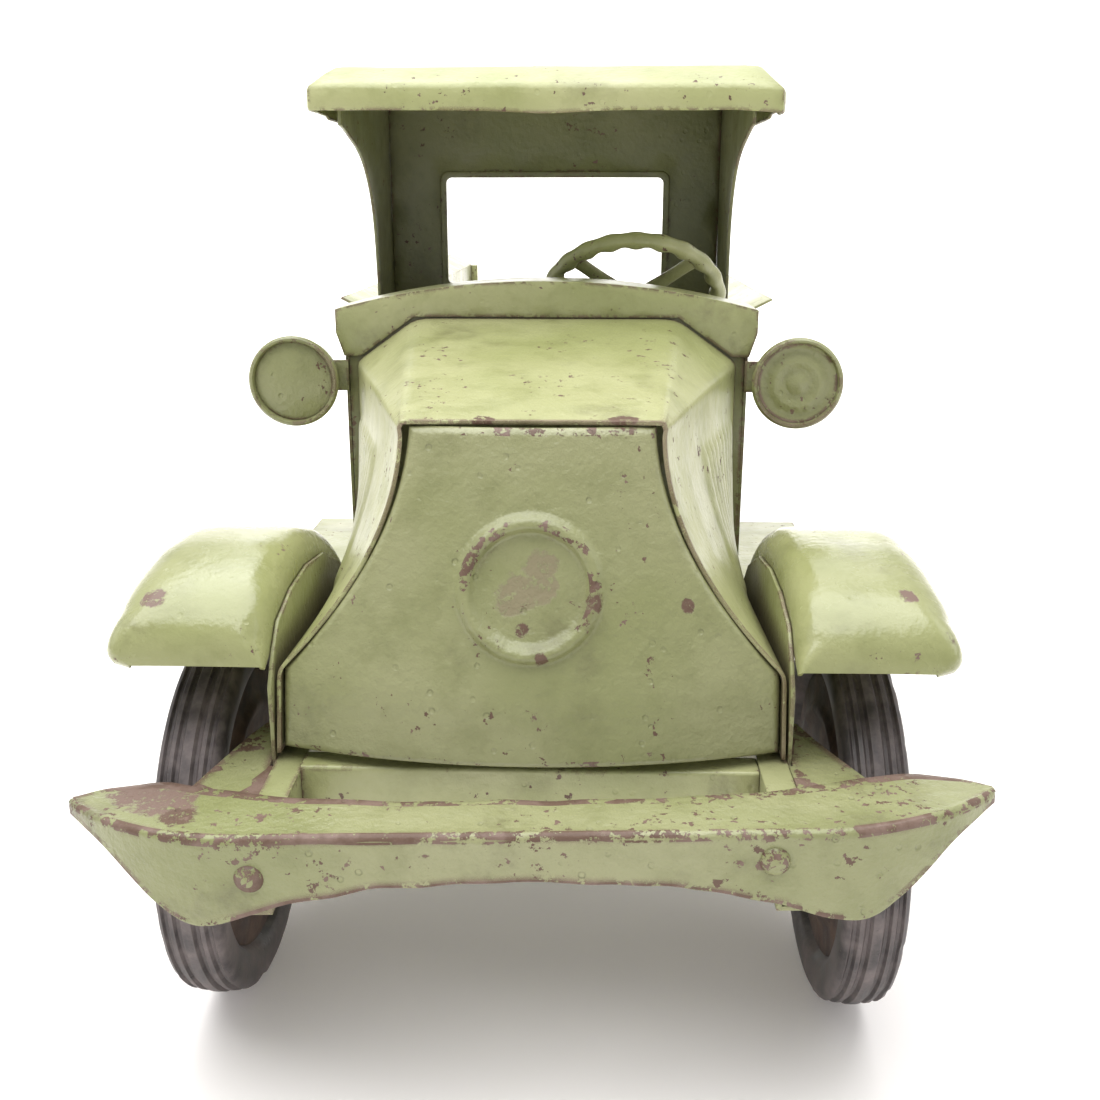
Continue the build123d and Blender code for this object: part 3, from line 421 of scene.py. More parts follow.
# painted light: tone 1.14 makes the roof a lighter copy of the green enamel for the light falling on
# its top
ROOF_LIT_MAT = enamel("enamel_roof_painted_light", tone=1.14, chips=0.6, wear=1.1, gloss=0.36, shade_and_grime=0.35, coat=0.10)
BED_MAT = enamel("enamel_bed", chips=0.7, wear=0.8, shade_and_grime=0.50)
FRAME_MAT = enamel("enamel_frame", tone=0.86, chips=0.6, wear=0.7, shade_and_grime=0.85, gloss=0.40)
RUBBER = rubber()
DISC_MAT = rusty("disc_rust", (0.120, 0.072, 0.052), (0.050, 0.034, 0.030))
STEEL_MAT = rusty("steel_dull", (0.200, 0.150, 0.115), (0.090, 0.072, 0.062), rough=0.60)


# ======================================================================================
# Hood front: bowed plate with rolled sides and a raised, plain ring
# ======================================================================================
HOOD_TOP_HALF, HOOD_TOP_Z = 31.2, 161.0
HOOD_HIP_HALF, HOOD_HIP_Z = 61.0, 103.5
HOOD_FOOT_Z = 84.6
BOW_AXIS_Y = -120.0
PLATE_GAP = 1.9
RING_Z, RING_R, RING_W, RING_H = 124.8, 15.2, 1.85, 2.1
ROLL_R, FLANGE = 2.2, 5.5


def plate_half_width(z):
    """Half width of the front plate at a height, inside the shell."""
    t = min(max((HOOD_TOP_Z - z) / (HOOD_TOP_Z - HOOD_HIP_Z), 0.0), 1.0)
    width = HOOD_TOP_HALF + (HOOD_HIP_HALF - HOOD_TOP_HALF) * t ** 2
    return width - PLATE_GAP


def plate_profile_y(z):
    """y of the plate's middle line: upright foot, soft knee, then a straight lean."""
    knee_z, knee_y, foot_y, slope = 100.0, -298.6, -302.0, 0.3548
    soft = 5.0
    blend = 1 / (1 + math.exp(-(z - knee_z) / soft * 2.2))
    below = foot_y + (z - HOOD_FOOT_Z) * (knee_y - foot_y) / (knee_z - HOOD_FOOT_Z)
    return below * (1 - blend) + (knee_y + (z - knee_z) * slope) * blend


def build_hood_front():
    z_rows = np.linspace(HOOD_FOOT_Z + 0.6, HOOD_TOP_Z - PLATE_GAP + 0.6, 190)
    columns = 235
    points = np.zeros((len(z_rows), columns + 6, 3))
    for i, z in enumerate(z_rows):
        half = plate_half_width(z)
        radius = BOW_AXIS_Y - plate_profile_y(z)
        for j in range(columns):
            u = math.sin(math.pi / 2 * (2 * j / (columns - 1) - 1))
            x = u * half
            y = BOW_AXIS_Y - math.sqrt(radius ** 2 - x ** 2)
            edge = min(half - abs(x), z - HOOD_FOOT_Z, HOOD_TOP_Z - PLATE_GAP + 0.8 - z)
            inward = max(ROLL_R - edge, 0.0)
            y += ROLL_R - math.sqrt(max(ROLL_R ** 2 - inward ** 2, 0.0))
            r = math.hypot(x, (z - RING_Z) * 1.06)
            y -= RING_H * math.exp(-abs((r - RING_R) / RING_W) ** 3.2)
            y += 0.40 * math.exp(-(r / 13.0) ** 6)
            points[i, j + 3] = (x, y, z)
        for k, depth in enumerate((FLANGE, FLANGE / 2, 0.6)):
            for column, source in ((k, 3), (columns + 5 - k, columns + 2)):
                points[i, column] = points[i, source] + np.array((0.0, depth, 0.0))
    plate = grid_object("hood_front_plate", points)
    thicken(plate, SHEET, (0, -240, 125))
    round_edges(plate, 0.2, 1, 60)
    smooth(plate, 50)
    settle(plate, "chassis", HOOD_FRONT_SHADED_MAT, "green_enamel", "hood_front")


# ======================================================================================
# Hood shell: folded sheet with corner facets and a bank of louvres on each side
# ======================================================================================
HOOD_REAR_Y, HOOD_BASE_Z = -181.0, 84.0
HOOD_LIP_Y, HOOD_LEAN = -293.0, 18.6 / 78.0     # the front edge leans back as it rises
TOP_COLUMNS = 24                                # columns across half the top and its facet
LOUVRES, LOUVRE_Y0, LOUVRE_PITCH = 9, -240.0, 5.6
LOUVRE_Z0, LOUVRE_Z1, LOUVRE_H = 106.0, 148.0, 1.15


def hood_section(front):
    """Half section from the middle of the top to the foot, in x and z."""
    top, hip = ((31.2, 161.0), (61.0, 103.5)) if front else ((40.0, 176.0), (59.0, 162.5))
    points = [(top[0] * t, top[1]) for t in np.linspace(0, 1, 14)]
    if front:
        corner = (32.0, 159.0)
        side = [(corner[0] + (hip[0] - corner[0]) * t ** 2, corner[1] + (hip[1] - corner[1]) * t)
                for t in np.linspace(0, 1, 60)]
    else:
        corner = hip
        side = [(hip[0], hip[1] + (100.0 - hip[1]) * t) for t in np.linspace(0, 1, 60)]
    facet = [(top[0] + (corner[0] - top[0]) * t, top[1] + (corner[1] - top[1]) * t)
             for t in np.linspace(0, 1, 12)[1:-1]]
    foot = [(side[-1][0], side[-1][1] + (HOOD_BASE_Z - side[-1][1]) * t)
            for t in np.linspace(0, 1, 14)[1:]]
    return np.array(points + facet + side + foot)


def louvre_height(y, z):
    """Outward relief of the louvres at a place on the side."""
    if not LOUVRE_Z0 < z < LOUVRE_Z1:
        return 0.0
    place = (y - LOUVRE_Y0) / LOUVRE_PITCH
    if not 0 <= place < LOUVRES:
        return 0.0
    share = place - math.floor(place)
    ramp = min(share / 0.72, (1 - share) / 0.28)
    ends = min((z - LOUVRE_Z0) / 3.0, (LOUVRE_Z1 - z) / 3.0, 1.0)
    return LOUVRE_H * math.sin(ramp * math.pi / 2) * ends


def build_hood_shell():
    front, rear = hood_section(True), hood_section(False)
    lengthwise = np.linspace(0, 1, 130)
    half = len(front)
    points = np.zeros((len(lengthwise), 2 * half - 1, 3))
    for i, t in enumerate(lengthwise):
        for k in range(half):
            front_y = HOOD_LIP_Y + (front[k, 1] - HOOD_BASE_Z) * HOOD_LEAN
            x = front[k, 0] + (rear[k, 0] - front[k, 0]) * t
            z = front[k, 1] + (rear[k, 1] - front[k, 1]) * t
            y = front_y + (HOOD_REAR_Y - front_y) * t
            x -= 0.25
            if k > TOP_COLUMNS:
                x += louvre_height(y, z) - LOUVRE_H * 0.35
            points[i, half - 1 + k] = (max(x, 0.0), y, z)
            points[i, half - 1 - k] = (-max(x, 0.0), y, z)
    shell = grid_object("hood_shell_sheet", blur_columns(points, 2))
    thicken(shell, SHEET, (0, -235, 110))
    round_edges(shell, 0.18, 1, 60)
    smooth(shell, 55)
    settle(shell, "chassis", HOOD_TOP, "green_enamel", "hood_shell")


# ======================================================================================
# Fenders: full crowned pressings with rounded shoulders and a flared front lip
# ======================================================================================
FENDER_AXIS = (-243.0, 62.0)
FENDER_X0, FENDER_X1 = 62.0, 101.0
FENDER_STATIONS = (
    (139.0, 67.4, 1.8), (134.4, 71.4, 7.4), (126.8, 71.8, 13.0), (113.5, 67.6, 14.5),
    (96.3, 63.9, 15.4), (76.2, 62.8, 15.5), (53.3, 63.6, 15.6), (33.2, 65.7, 15.1),
    (18.2, 70.5, 14.5), (11.0, 74.5, 14.0),
)
OUTER_SHOULDER, INNER_SHOULDER = 12.5, 8.0
CORNER_R = 7.0


def shoulder(x_edge, side, reach, crown):
    """Points of a rounded shoulder in x and radius, from its wall up to the crown."""
    return [(x_edge - side * reach * (1 - math.cos(a)), crown - reach + reach * math.sin(a))
            for a in np.linspace(0, math.pi / 2, 12)]


def fender_section(radius, depth, inset):
    outer, inner = min(OUTER_SHOULDER, depth - 0.6), min(INNER_SHOULDER, depth - 0.6)
    points = [(FENDER_X0 + 0.1, radius - depth)]
    points += shoulder(FENDER_X0 + 0.1, -1, inner, radius)
    flat = np.linspace(FENDER_X0 + inner, FENDER_X1 - outer, 8)[1:-1]
    points += [(x, radius + 0.25 * math.sin(math.pi * (x - FENDER_X0) / 39.0)) for x in flat]
    points += shoulder(FENDER_X1, 1, outer, radius)[::-1]
    points.append((FENDER_X1, radius - depth))
    section = np.array(points)
    middle = (FENDER_X0 + FENDER_X1) / 2
    outside = section[:, 0] > middle
    section[outside, 0] -= inset * (section[outside, 0] - middle) / (FENDER_X1 - middle)
    return section


def build_fender(side, name):
    stations = np.array(FENDER_STATIONS)[::-1]
    angles = np.linspace(stations[0, 0], stations[-1, 0], 110)
    radii = np.interp(angles, stations[:, 0], stations[:, 1])
    depths = np.interp(angles, stations[:, 0], stations[:, 2])
    for _ in range(14):
        radii[1:-1] = (radii[:-2] + 2 * radii[1:-1] + radii[2:]) / 4
    rows = []
    for angle, radius, depth in zip(angles, radii, depths):
        turn = math.radians(angle)
        # the pressing has small hand-made unevenness
        radius += 0.25 * math.sin(turn * 5.0 + side)
        from_lip = math.radians(stations[-1, 0] - angle) * radius
        inset = CORNER_R - math.sqrt(max(CORNER_R ** 2 - max(CORNER_R - from_lip, 0.0) ** 2, 0.0))
        rows.append([(side * x, FENDER_AXIS[0] + r * math.cos(turn), FENDER_AXIS[1]
                      + r * math.sin(turn)) for x, r in fender_section(radius, depth, inset)])
    points = np.array(rows)
    points[:, :, 2] = np.maximum(points[:, :, 2], 80.0)
    fender = grid_object(f"fender_{name}_pressing", points)
    thicken(fender, SHEET, (side * 81, FENDER_AXIS[0], FENDER_AXIS[1]))
    round_edges(fender, 0.25, 2, 60)
    smooth(fender, 50)
    settle(fender, "chassis", FENDER, "green_enamel", f"fender_{name}")


# ======================================================================================
# Bumper: bow-tie face, rounded top corner and a flange, tilted as on the worn toy
# ======================================================================================
BUMPER_HALF, BUMPER_FLAT, BUMPER_SWEEP = 103.3, 60.0, 18.0
BUMPER_FACE_Y, BUMPER_TOP = -329.3, 83.4
BUMPER_TILT = math.radians(1.7)
BUMPER_LOWER = ((0, 72.5), (32, 71), (53, 67), (66, 62.5), (74, 61.7), (85, 69.5), (93, 77.3),
                (104, 81))
BUMPER_REAR = ((0, -313), (30, -313), (60, -309.5), (74, -305), (85, -302), (92, -303.5),
               (100, -306), (104, -310.5))
BOLTS = ((-58.5, 73.5), (53.0, 76.5))


def bumper_line(x):
    run = max(abs(x) - BUMPER_FLAT, 0.0)
    span = 104.0 - BUMPER_FLAT
    radius = (span ** 2 + BUMPER_SWEEP ** 2) / (2 * BUMPER_SWEEP)
    return BUMPER_FACE_Y + radius - math.sqrt(radius ** 2 - run ** 2)


def soft_interp(x, table):
    """Linear table lookup, eased by averaging over a few millimetres."""
    xs, values = zip(*table)
    return float(np.mean([np.interp(abs(x + d), xs, values) for d in (-3, -1.5, 0, 1.5, 3)]))


def build_bumper():
    corner = 1.6
    columns = np.linspace(-BUMPER_HALF, BUMPER_HALF, 231)
    face_rows, arc_rows, flange_rows = 34, 7, 12
    points = np.zeros((face_rows + arc_rows + flange_rows, len(columns), 3))
    for j, x in enumerate(columns):
        front = bumper_line(x)
        low = soft_interp(x, BUMPER_LOWER) + 0.5 * noise.noise(Vector((x * 0.11, 3.0, 0.0)))
        low = min(low, BUMPER_TOP - 2.2)
        rear = max(soft_interp(x, BUMPER_REAR), front + 2.4)
        rear += 0.6 * noise.noise(Vector((x * 0.09, 9.0, 1.0)))
        column = []
        for t in np.linspace(0, 1, face_rows):
            z = low + (BUMPER_TOP - corner - low) * t
            y = front
            for bolt_x, bolt_z in BOLTS:
                distance = math.hypot(x - bolt_x, z - bolt_z)
                y += 0.7 * math.exp(-(distance / 5.0) ** 2)
            y += 0.25 + 0.25 * noise.noise(Vector((x * 0.06, z * 0.10, 5.0)))
            column.append((x, y, z))
        for a in np.linspace(0, math.pi / 2, arc_rows + 1)[1:]:
            column.append((x, front + 0.3 + corner * (1 - math.cos(a)),
                           BUMPER_TOP - corner + corner * math.sin(a)))
        start = column[-1][1]
        for t in np.linspace(0, 1, flange_rows + 1)[1:]:
            dip = 0.3 * noise.noise(Vector((x * 0.07, t * 2.0, 8.0)))
            column.append((x, start + (max(rear, start + 0.8) - start) * t, BUMPER_TOP - 0.3 + dip))
        points[:, j] = column
    bumper = grid_object("bumper_pressing", points)
    thicken(bumper, 1.1, (0, -320, 70))
    round_edges(bumper, 0.22, 1, 55)
    smooth(bumper, 50)
    tilt_about_middle(bumper)
    settle(bumper, "chassis", BUMPER_MAT, "bumper_enamel", "bumper")


def tilt_about_middle(obj):
    """The whole bumper sits a little skewed on its horns."""
    centre = Vector((0.0, BUMPER_FACE_Y, 78.0)) * MM
    turn = Matrix.Rotation(-BUMPER_TILT, 4, "Y")
    obj.data.transform(Matrix.Translation(centre) @ turn @ Matrix.Translation(-centre))


def follow_bumper(obj):
    """Bends the front end of a rail or horn so that it meets the skewed bumper from below."""
    start_y, full_y = -280.0, -309.0
    for v in obj.data.vertices:
        share = min(max((start_y - v.co.y / MM) / (start_y - full_y), 0.0), 1.0)
        v.co.z += (v.co.x * math.tan(BUMPER_TILT) - 0.45 * MM) * share


def build_bolts():
    profile = [(0.9, 0.01), (0.75, 1.3), (0.2, 2.6), (-0.7, 3.3), (-1.6, 3.4)]
    verts, faces = [], []
    steps = 28
    for bolt_x, bolt_z in BOLTS:
        base = len(verts)
        for forward, radius in profile:
            for j in range(steps):
                a = 2 * math.pi * j / steps
                verts.append((bolt_x + radius * math.cos(a), BUMPER_FACE_Y - forward,
                              bolt_z + radius * math.sin(a)))
        for i in range(len(profile) - 1):
            for j in range(steps):
                k = (j + 1) % steps
                faces.append((base + i * steps + j, base + i * steps + k,
                              base + (i + 1) * steps + k, base + (i + 1) * steps + j))
        faces.append(tuple(base + j for j in range(steps)))
        faces.append(tuple(base + (len(profile) - 1) * steps + j for j in reversed(range(steps))))
    bolts = make_object("bumper_bolt_heads", verts, faces)
    face_away(bolts, (0, -325, 75))
    smooth(bolts, 60)
    tilt_about_middle(bolts)
    settle(bolts, "chassis", BUMPER_MAT, "bumper_enamel", "bumper_bolts")


# ======================================================================================
# Roof: turned-down lip, slopes and a flat top, dented at the middle of the front
# ======================================================================================
ROOF_HALF, ROOF_Y0, ROOF_Y1 = 68.8, -190.0, -77.0
ROOF_CORNER_R, ROOF_CROWN_Z = 3.5, 249.3
SAG_X, SAG_Y, SAG = 55.0, -175.0, 1.0      # the left front corner hangs a little


def roof_ring(inset_x, inset_front, inset_rear, z, count=160):
    """One level of the roof: a rounded rectangle sampled evenly by angle."""
    half = ROOF_HALF - inset_x
    y0, y1 = ROOF_Y0 + inset_front, ROOF_Y1 - inset_rear
    middle, reach = (y0 + y1) / 2, (y1 - y0) / 2
    ring = []
    for j in range(count):
        a = 2 * math.pi * j / count
        c, s = math.cos(a), math.sin(a)
        scale = min(half / max(abs(half * c), 1e-6), reach / max(abs(reach * s), 1e-6))
        x, y = half * c * scale, reach * s * scale
        dx, dy = half - abs(x), reach - abs(y)
        if dx < ROOF_CORNER_R and dy < ROOF_CORNER_R:
            away = math.hypot(ROOF_CORNER_R - dx, ROOF_CORNER_R - dy)
            pull = ROOF_CORNER_R / max(away, ROOF_CORNER_R)
            x = math.copysign(half - ROOF_CORNER_R + (ROOF_CORNER_R - dx) * pull, x)
            y = math.copysign(reach - ROOF_CORNER_R + (ROOF_CORNER_R - dy) * pull, y)
        ring.append((x, middle + y, z))
    return ring


def build_roof():
    levels = [(0.3, 0.3, 0.3, 234.6), (0.0, 0.0, 0.0, 235.6), (0.0, 0.0, 0.0, 238.5),
              (0.0, 0.0, 0.0, 241.2), (0.5, 0.7, 0.5, 242.4), (1.5, 2.4, 1.4, 243.4),
              (3.5, 9.0, 3.2, 246.2), (5.2, 15.0, 5.0, 248.2), (6.6, 18.5, 6.8, 248.9),
              (9.0, 22.0, 9.5, 249.1)]
    rings = [roof_ring(*level) for level in levels]
    centre = np.array((0.0, (ROOF_Y0 + ROOF_Y1) / 2, ROOF_CROWN_Z))
    last = np.array(rings[-1])
    for share in np.linspace(0.86, 0.02, 12):
        shrunk = centre + (last - centre) * share
        shrunk[:, 2] = last[:, 2] + (ROOF_CROWN_Z - last[:, 2]) * (1 - share)
        rings.append([tuple(p) for p in shrunk])
    points = np.array(rings)
    for p in points.reshape(-1, 3):
        if p[1] < -160:
            dent = math.exp(-((p[0] + 1.0) / 4.2) ** 2) * math.exp(-((p[1] + 190) / 6.0) ** 2)
            p[1] += 1.1 * dent
            if p[2] < 238:
                p[2] -= 0.8 * math.exp(-(p[0] / 15.0) ** 2) - 0.8
        p[2] += 0.35 * (noise.noise(Vector(p) * 0.035) - 0.6)
        if p[0] > SAG_X and p[1] < SAG_Y:
            p[2] -= SAG * (p[0] - SAG_X) / (ROOF_HALF - SAG_X)
    roof = grid_object("cab_roof_pressing", points, closed=True)
    thicken(roof, SHEET, (0, -133, 225))
    round_edges(roof, 0.2, 1, 60)
    smooth(roof, 45)
    settle(roof, "chassis", ROOF_LIT_MAT, "green_enamel", "cab_roof")


# ======================================================================================
# Wheels
# ======================================================================================
TYRE_R, TYRE_HALF = 50.0, 7.75
HUB_R, HUB_BORE_R = 6.0, 3.08


def tyre_profile():
    """Full closed section of the tyre, with rounded tread ridges."""
    half = [(0.0, 49.95), (1.2, 49.9), (1.8, 48.8), (2.6, 48.8), (3.2, 49.6), (4.2, 49.5),
            (4.8, 48.5), (5.5, 48.4), (6.1, 49.1), (6.9, 48.6), (7.6, 47.2), (7.75, 45.0),
            (7.7, 42.0), (7.1, 40.2), (6.2, 39.2), (4.6, 38.3), (4.0, 37.6), (4.0, 33.5)]
    return half + [(-u, r) for u, r in reversed(half[1:])] + [half[0]]


def tyre_wear(seed):
    """Chewed shoulders; the tread stays inside its round."""
    def ripple(offset, radius, turn):
        if radius < 44:
            return 0.0
        place = Vector((math.cos(turn) * 9, math.sin(turn) * 9, seed + offset * 0.25))
        bite = max(noise.noise(place) - 0.12, 0.0)
        edge = max((abs(offset) - 4.5) / 3.2, 0.15)
        return -1.8 * bite * edge - 0.1
    return ripple


def disc_profile(bore):
    """Closed section of a pressed disc with two raised ridges."""
    outer = [(bore, 5.0), (12.0, 5.0), (13.6, 5.6), (14.8, 6.35), (16.2, 6.35), (17.4, 5.6),
             (18.8, 5.0), (24.2, 5.0), (25.8, 5.6), (27.0, 6.35), (28.4, 6.35), (29.6, 5.6),
             (31.0, 5.0), (36.5, 5.0), (38.1, 4.7)]
    back = [(38.1, 4.1), (30.0, 4.1), (27.5, 5.3), (25.0, 4.1), (18.0, 4.1), (15.5, 5.3),
            (13.0, 4.1), (bore, 4.1)]
    return [(x, r) for r, x in outer + back + outer[:1]]


def build_wheel(name, seed):
    low, high = box_mm(f"tyre_{name}")
    centre = (low + high) / 2
    side = 1 if centre[0] > 0 else -1
    body = f"wheel_{name}"
    tyre = lathe(f"tyre_{name}_rubber", tyre_profile(), centre, 144, tyre_wear(seed))
    face_away(tyre, centre)
    smooth(tyre, 38)
    settle(tyre, body, RUBBER, "tyre_rubber", f"tyre_{name}")
    for face, direction, bore in (("outer", side, HUB_R), ("inner", -side, HUB_BORE_R)):
        section = [(direction * u, r) for u, r in disc_profile(bore)]
        disc = lathe(f"disc_{face}_{name}_pressing", section, centre, 96)
        if face == "inner":
            hub = [(-side * 15.5, HUB_BORE_R), (-side * 15.5, HUB_R), (side * 8.5, HUB_R),
                   (side * 8.5, HUB_BORE_R), (-side * 15.5, HUB_BORE_R)]
            join(disc, lathe("hub", hub, centre, 48))
        recalculate(disc)
        smooth(disc, 40)
        settle(disc, body, DISC_MAT, "wheel_discs", f"disc_{face}_{name}")


def join(target, extra):
    """Adds another object's mesh to the target's and removes that object."""
    bm = bmesh.new()
    bm.from_mesh(target.data)
    bm.from_mesh(extra.data)
    bm.to_mesh(target.data)
    bm.free()
    bpy.data.objects.remove(extra)


def recalculate(obj):
    bm = bmesh.new()
    bm.from_mesh(obj.data)
    bmesh.ops.remove_doubles(bm, verts=bm.verts, dist=0.000001)
    bmesh.ops.recalc_face_normals(bm, faces=bm.faces)
    bm.to_mesh(obj.data)
    bm.free()


# ======================================================================================
# Headlights: the right lens is domed and rough, the left one has rings and a boss
# ======================================================================================
LAMP_R, LAMP_FRONT_Y, LAMP_BACK_Y = 13.5, -197.0, -182.6


def turned(name, profile, centre_x, centre_z, steps=72):
    """A closed section of (y, radius) turned about a Y axis."""
    points = np.zeros((len(profile), steps, 3))
    for i, (y, radius) in enumerate(profile):
        for j in range(steps):
            a = 2 * math.pi * j / steps
            points[i, j] = (centre_x + radius * math.cos(a), y, centre_z + radius * math.sin(a))
    obj = grid_object(name, points, closed=True)
    recalculate(obj)
    smooth(obj, 40)
    return obj


def build_lamp(name):
    low, high = box_mm(f"headlight_shell_{name}")
    x, z = (low[0] + high[0]) / 2, (low[2] + high[2]) / 2
    front, back = LAMP_FRONT_Y, LAMP_BACK_Y
    outer = [(back, 0.001), (back, 7.0), (back - 1.0, 9.4), (back - 3.0, 11.4), (front + 3.0, 12.6),
             (front + 2.4, 13.2), (front + 1.5, LAMP_R), (front + 0.6, 13.4), (front, 12.8),
             (front, 12.2), (front + 0.6, 11.8)]
    inner = [(front + 3.6, 11.7), (back - 3.4, 10.5), (back - 1.0, 7.3), (back - 1.0, 0.001)]
    shell = turned(f"headlight_shell_{name}_pressing", outer + inner, x, z)
    settle(shell, "chassis", LAMP_MAT, "lamp_enamel", f"headlight_shell_{name}")
    if name == "left":
        face = [(front + 0.5, 0.001), (front + 0.6, 2.0), (front + 1.6, 3.2), (front + 1.7, 4.6),
                (front + 0.8, 6.0), (front + 0.9, 7.4), (front + 1.8, 8.6), (front + 1.9, 10.0),
                (front + 1.2, 11.7)]
    else:
        face = [(front + 0.2 + 1.5 * (r / 11.7) ** 2.4, max(r, 0.001))
                for r in np.linspace(0, 11.7, 14)]
    rear = [(front + 2.8, 11.7), (front + 2.8, 0.001)]
    lens = turned(f"headlight_lens_{name}_pressing", face + rear, x, z)
    settle(lens, "chassis", LAMP_MAT, "lamp_enamel", f"headlight_lens_{name}")


# ======================================================================================
# Steering wheel: rim with finger scallops and four tapered spokes
# ======================================================================================
WHEEL_AT = np.array((28.0, -137.0, 178.0))
WHEEL_R, RIM_R, SCALLOPS = 28.5, 3.0, 22
UP_COLUMN = np.array((0.0, math.sqrt(0.5), math.sqrt(0.5)))
ACROSS = np.array((1.0, 0.0, 0.0))
ALONG = np.cross(UP_COLUMN, ACROSS)


def build_steering_wheel():
    around, section = 264, 20
    points = np.zeros((around, section, 3))
    for i in range(around):
        turn = 2 * math.pi * i / around
        out = ACROSS * math.cos(turn) + ALONG * math.sin(turn)
        grip = 0.5 * (1 + math.cos(turn * SCALLOPS))
        for j in range(section):
            a = 2 * math.pi * j / section
            inner = max(-math.cos(a), 0.0)
            r = RIM_R - 0.12 - 1.15 * grip * (0.30 + 0.70 * inner)
            points[i, j] = WHEEL_AT + out * (WHEEL_R + r * math.cos(a)) + UP_COLUMN * r * math.sin(a)
    ring = np.concatenate([points, points[:1]])
    wheel = grid_object("steering_wheel_casting", ring, closed=True)
    for angle in (45, 135, 225, 315):
        join(wheel, spoke(math.radians(angle)))
    recalculate(wheel)
    smooth(wheel, 50)
    settle(wheel, "steering", BODY, "green_enamel", "steering_wheel")


def spoke(turn):
    """A flattened rod, widest at the hub, that meets the rim's middle."""
    out = ACROSS * math.cos(turn) + ALONG * math.sin(turn)
    across = np.cross(UP_COLUMN, out)
    steps, section = 14, 14
    points = np.zeros((steps, section, 3))
    for i, t in enumerate(np.linspace(0, 1, steps)):
        width = 3.8 - 1.5 * math.sin(math.pi * min(t * 1.1, 1.0) / 2) + 0.6 * t ** 6
        for j in range(section):
            a = 2 * math.pi * j / section
            points[i, j] = (WHEEL_AT + out * (1.0 + (WHEEL_R - 1.0) * t)
                            + across * width * math.cos(a) + UP_COLUMN * 1.25 * math.sin(a))
    return grid_object("spoke", points, closed=True)


# ======================================================================================
# Build everything
# ======================================================================================
build_hood_front()
build_hood_shell()
for side, name in ((1, "left"), (-1, "right")):
    build_fender(side, name)
    build_lamp(name)
build_bumper()
build_bolts()
build_roof()
build_steering_wheel()
for seed, corner in enumerate(("front_left", "front_right", "rear_left", "rear_right")):
    build_wheel(corner, seed * 7.3)

SHEETS = {
    "cab_back": CAB_SHADED_MAT, "cab_floor": CAB_SHADED_MAT, "cowl": BODY, "firewall": CAB_SHADED_MAT,
    "seat": CAB_SHADED_MAT, "front_apron": BODY, "bed_floor": BED_MAT, "bed_front": BED_MAT,
    "bed_posts": BED_MAT, "bed_sills": FRAME_MAT, "frame_crossmembers": FRAME_MAT,
    "running_board_straps": FRAME_MAT, "axle_hangers": FRAME_MAT,
}
PAIRS = {
    "cab_side": CAB_SHADED_MAT, "bed_side": BED_MAT, "frame_rail": FRAME_MAT, "horn": BUMPER_MAT,
    "fender_skirt": FRAME_MAT, "running_board": BODY, "headlight_bracket": LAMP_MAT,
}
WAVY = {"cab_side_left": 0.30, "cab_side_right": 0.30, "cowl": 0.20, "front_apron": 0.25,
        "bed_side_left": 0.35, "bed_side_right": 0.35, "cab_back": 0.15, "horn_left": 0.12,
        "horn_right": 0.12, "frame_rail_left": 0.10, "frame_rail_right": 0.10}
record_slots = {row["node"]: row["material_slot"] for row in frame["record"]["subparts"]}
for pair, material in PAIRS.items():
    for name in ("left", "right"):
        SHEETS[f"{pair}_{name}"] = material
for node, material in SHEETS.items():
    piece = replica(node, material, record_slots[node], wobble=WAVY.get(node, 0.0))
    if node.startswith(("horn", "frame_rail")):
        follow_bumper(piece)
replica("tailgate", BED_MAT, record_slots["tailgate"], body="tailgate")

# Round bars and small turned parts keep their CAD shape.
for node, material in (("front_axle", STEEL_MAT), ("rear_axle", STEEL_MAT),
                       ("axle_retainers", STEEL_MAT), ("tailgate_pin", STEEL_MAT),
                       ("tailgate_hinge", BED_MAT), ("steering_column", STEEL_MAT),
                       ("steering_cap", BODY), ("column_bush", STEEL_MAT)):
    mesh_object = frame["nodes"][node]
    mesh_object.data.materials.clear()
    mesh_object.data.materials.append(material)


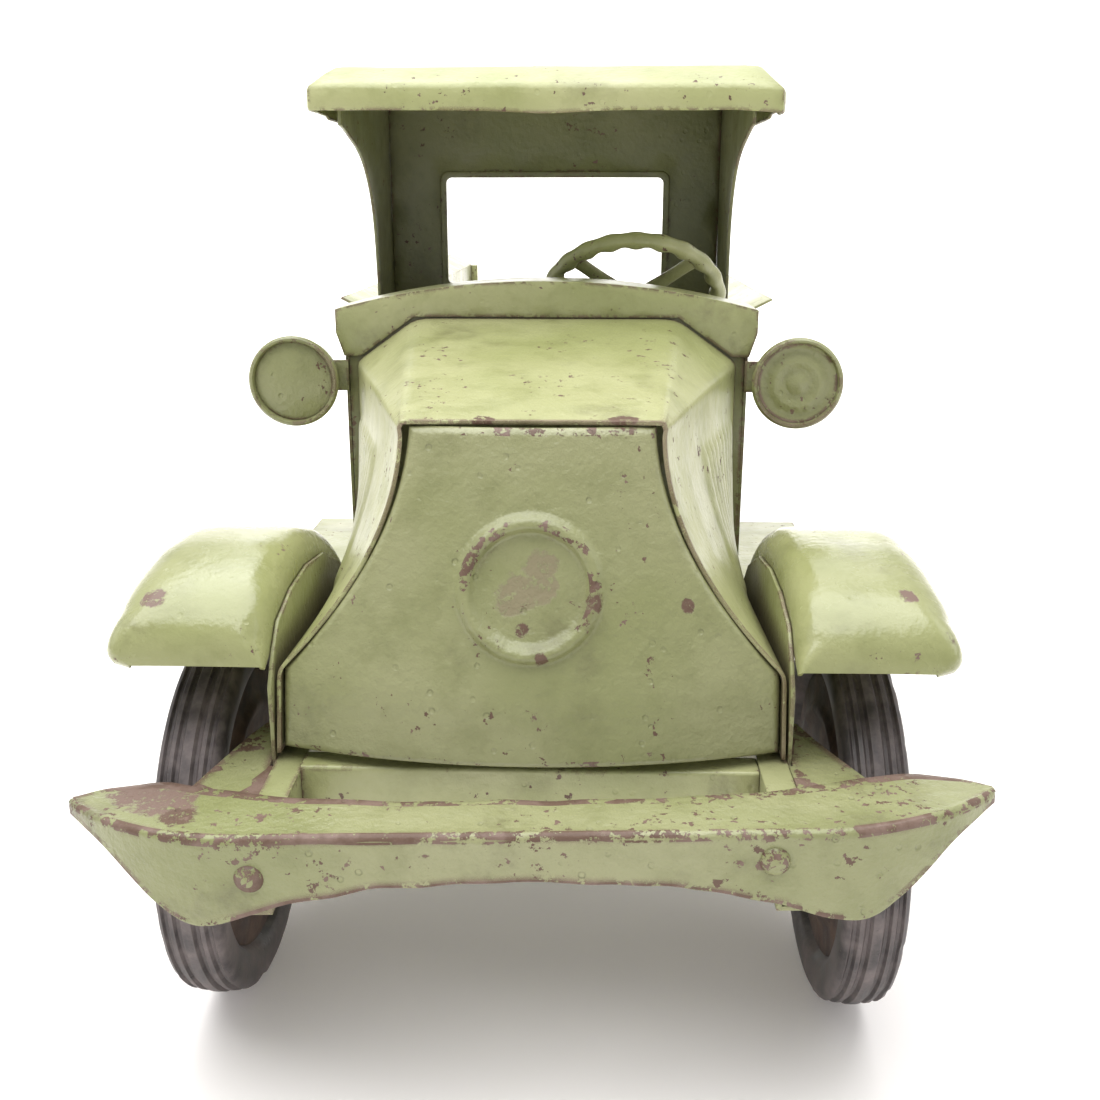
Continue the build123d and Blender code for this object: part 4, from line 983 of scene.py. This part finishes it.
# ======================================================================================
# Floor, light and camera
# ======================================================================================
def build_floor():
    points = np.zeros((60, 2, 3))
    for i, t in enumerate(np.linspace(0, 1, 60)):
        y = -2500 + 6500 * t
        rise = max(y - 1500.0, 0.0)
        for j, x in enumerate((-4000, 4000)):
            points[i, j] = (x, y, -0.2 + rise ** 2 / 4000)
    floor = grid_object("floor", points)
    smooth(floor)
    s = Shader("pale_floor")
    s.put(s.bsdf.inputs["Base Color"], s.blend(s.noise(3.0, 3.0), (0.90, 0.875, 0.86),
                                               (0.93, 0.91, 0.895)))
    s.bsdf.inputs["Roughness"].default_value = 0.9
    s.bsdf.inputs["Emission Color"].default_value = (1.0, 0.93, 0.90, 1.0)
    s.bsdf.inputs["Emission Strength"].default_value = 0.12
    floor.data.materials.append(s.material)


def area_light(name, place, target, size, power, size_y=None):
    data = bpy.data.lights.new(name, "AREA")
    data.shape = "RECTANGLE"
    data.size, data.size_y = size, size_y or size
    data.energy = power
    light = bpy.data.objects.new(name, data)
    bpy.context.scene.collection.objects.link(light)
    light.location = place
    light.rotation_euler = (Vector(target) - Vector(place)).to_track_quat("-Z", "Y").to_euler()


build_floor()
area_light("overhead", (-0.15, -0.15, 1.45), (0, -0.22, 0.1), 1.9, 44.0)
area_light("behind", (0.0, 1.25, 1.05), (0, -0.2, 0.15), 1.2, 5.0)
area_light("side_right", (1.2, 0.05, 0.70), (0, -0.2, 0.12), 0.8, 2.5)
area_light("side_left", (-1.2, -0.05, 0.70), (0, -0.2, 0.12), 0.8, 1.5)
area_light("backdrop", (0.0, 1.5, 1.7), (0, 3.2, 0.5), 2.6, 92.0)

world = bpy.data.worlds.new("studio")
world.use_nodes = True
world.node_tree.nodes["Background"].inputs["Color"].default_value = (1.0, 1.0, 1.0, 1.0)
world.node_tree.nodes["Background"].inputs["Strength"].default_value = 0.56
bpy.context.scene.world = world
bpy.context.scene.view_settings.view_transform = "Standard"

camera_data = bpy.data.cameras.new("camera")
camera_data.sensor_width = 36.0
camera_data.lens = 39.27
camera = bpy.data.objects.new("camera", camera_data)
bpy.context.scene.collection.objects.link(camera)
camera.location = (0.01296, -0.55222, 0.21079)
camera.rotation_euler = (math.pi / 2 - 0.2843, 0.0, 0.0314)
bpy.context.scene.camera = camera
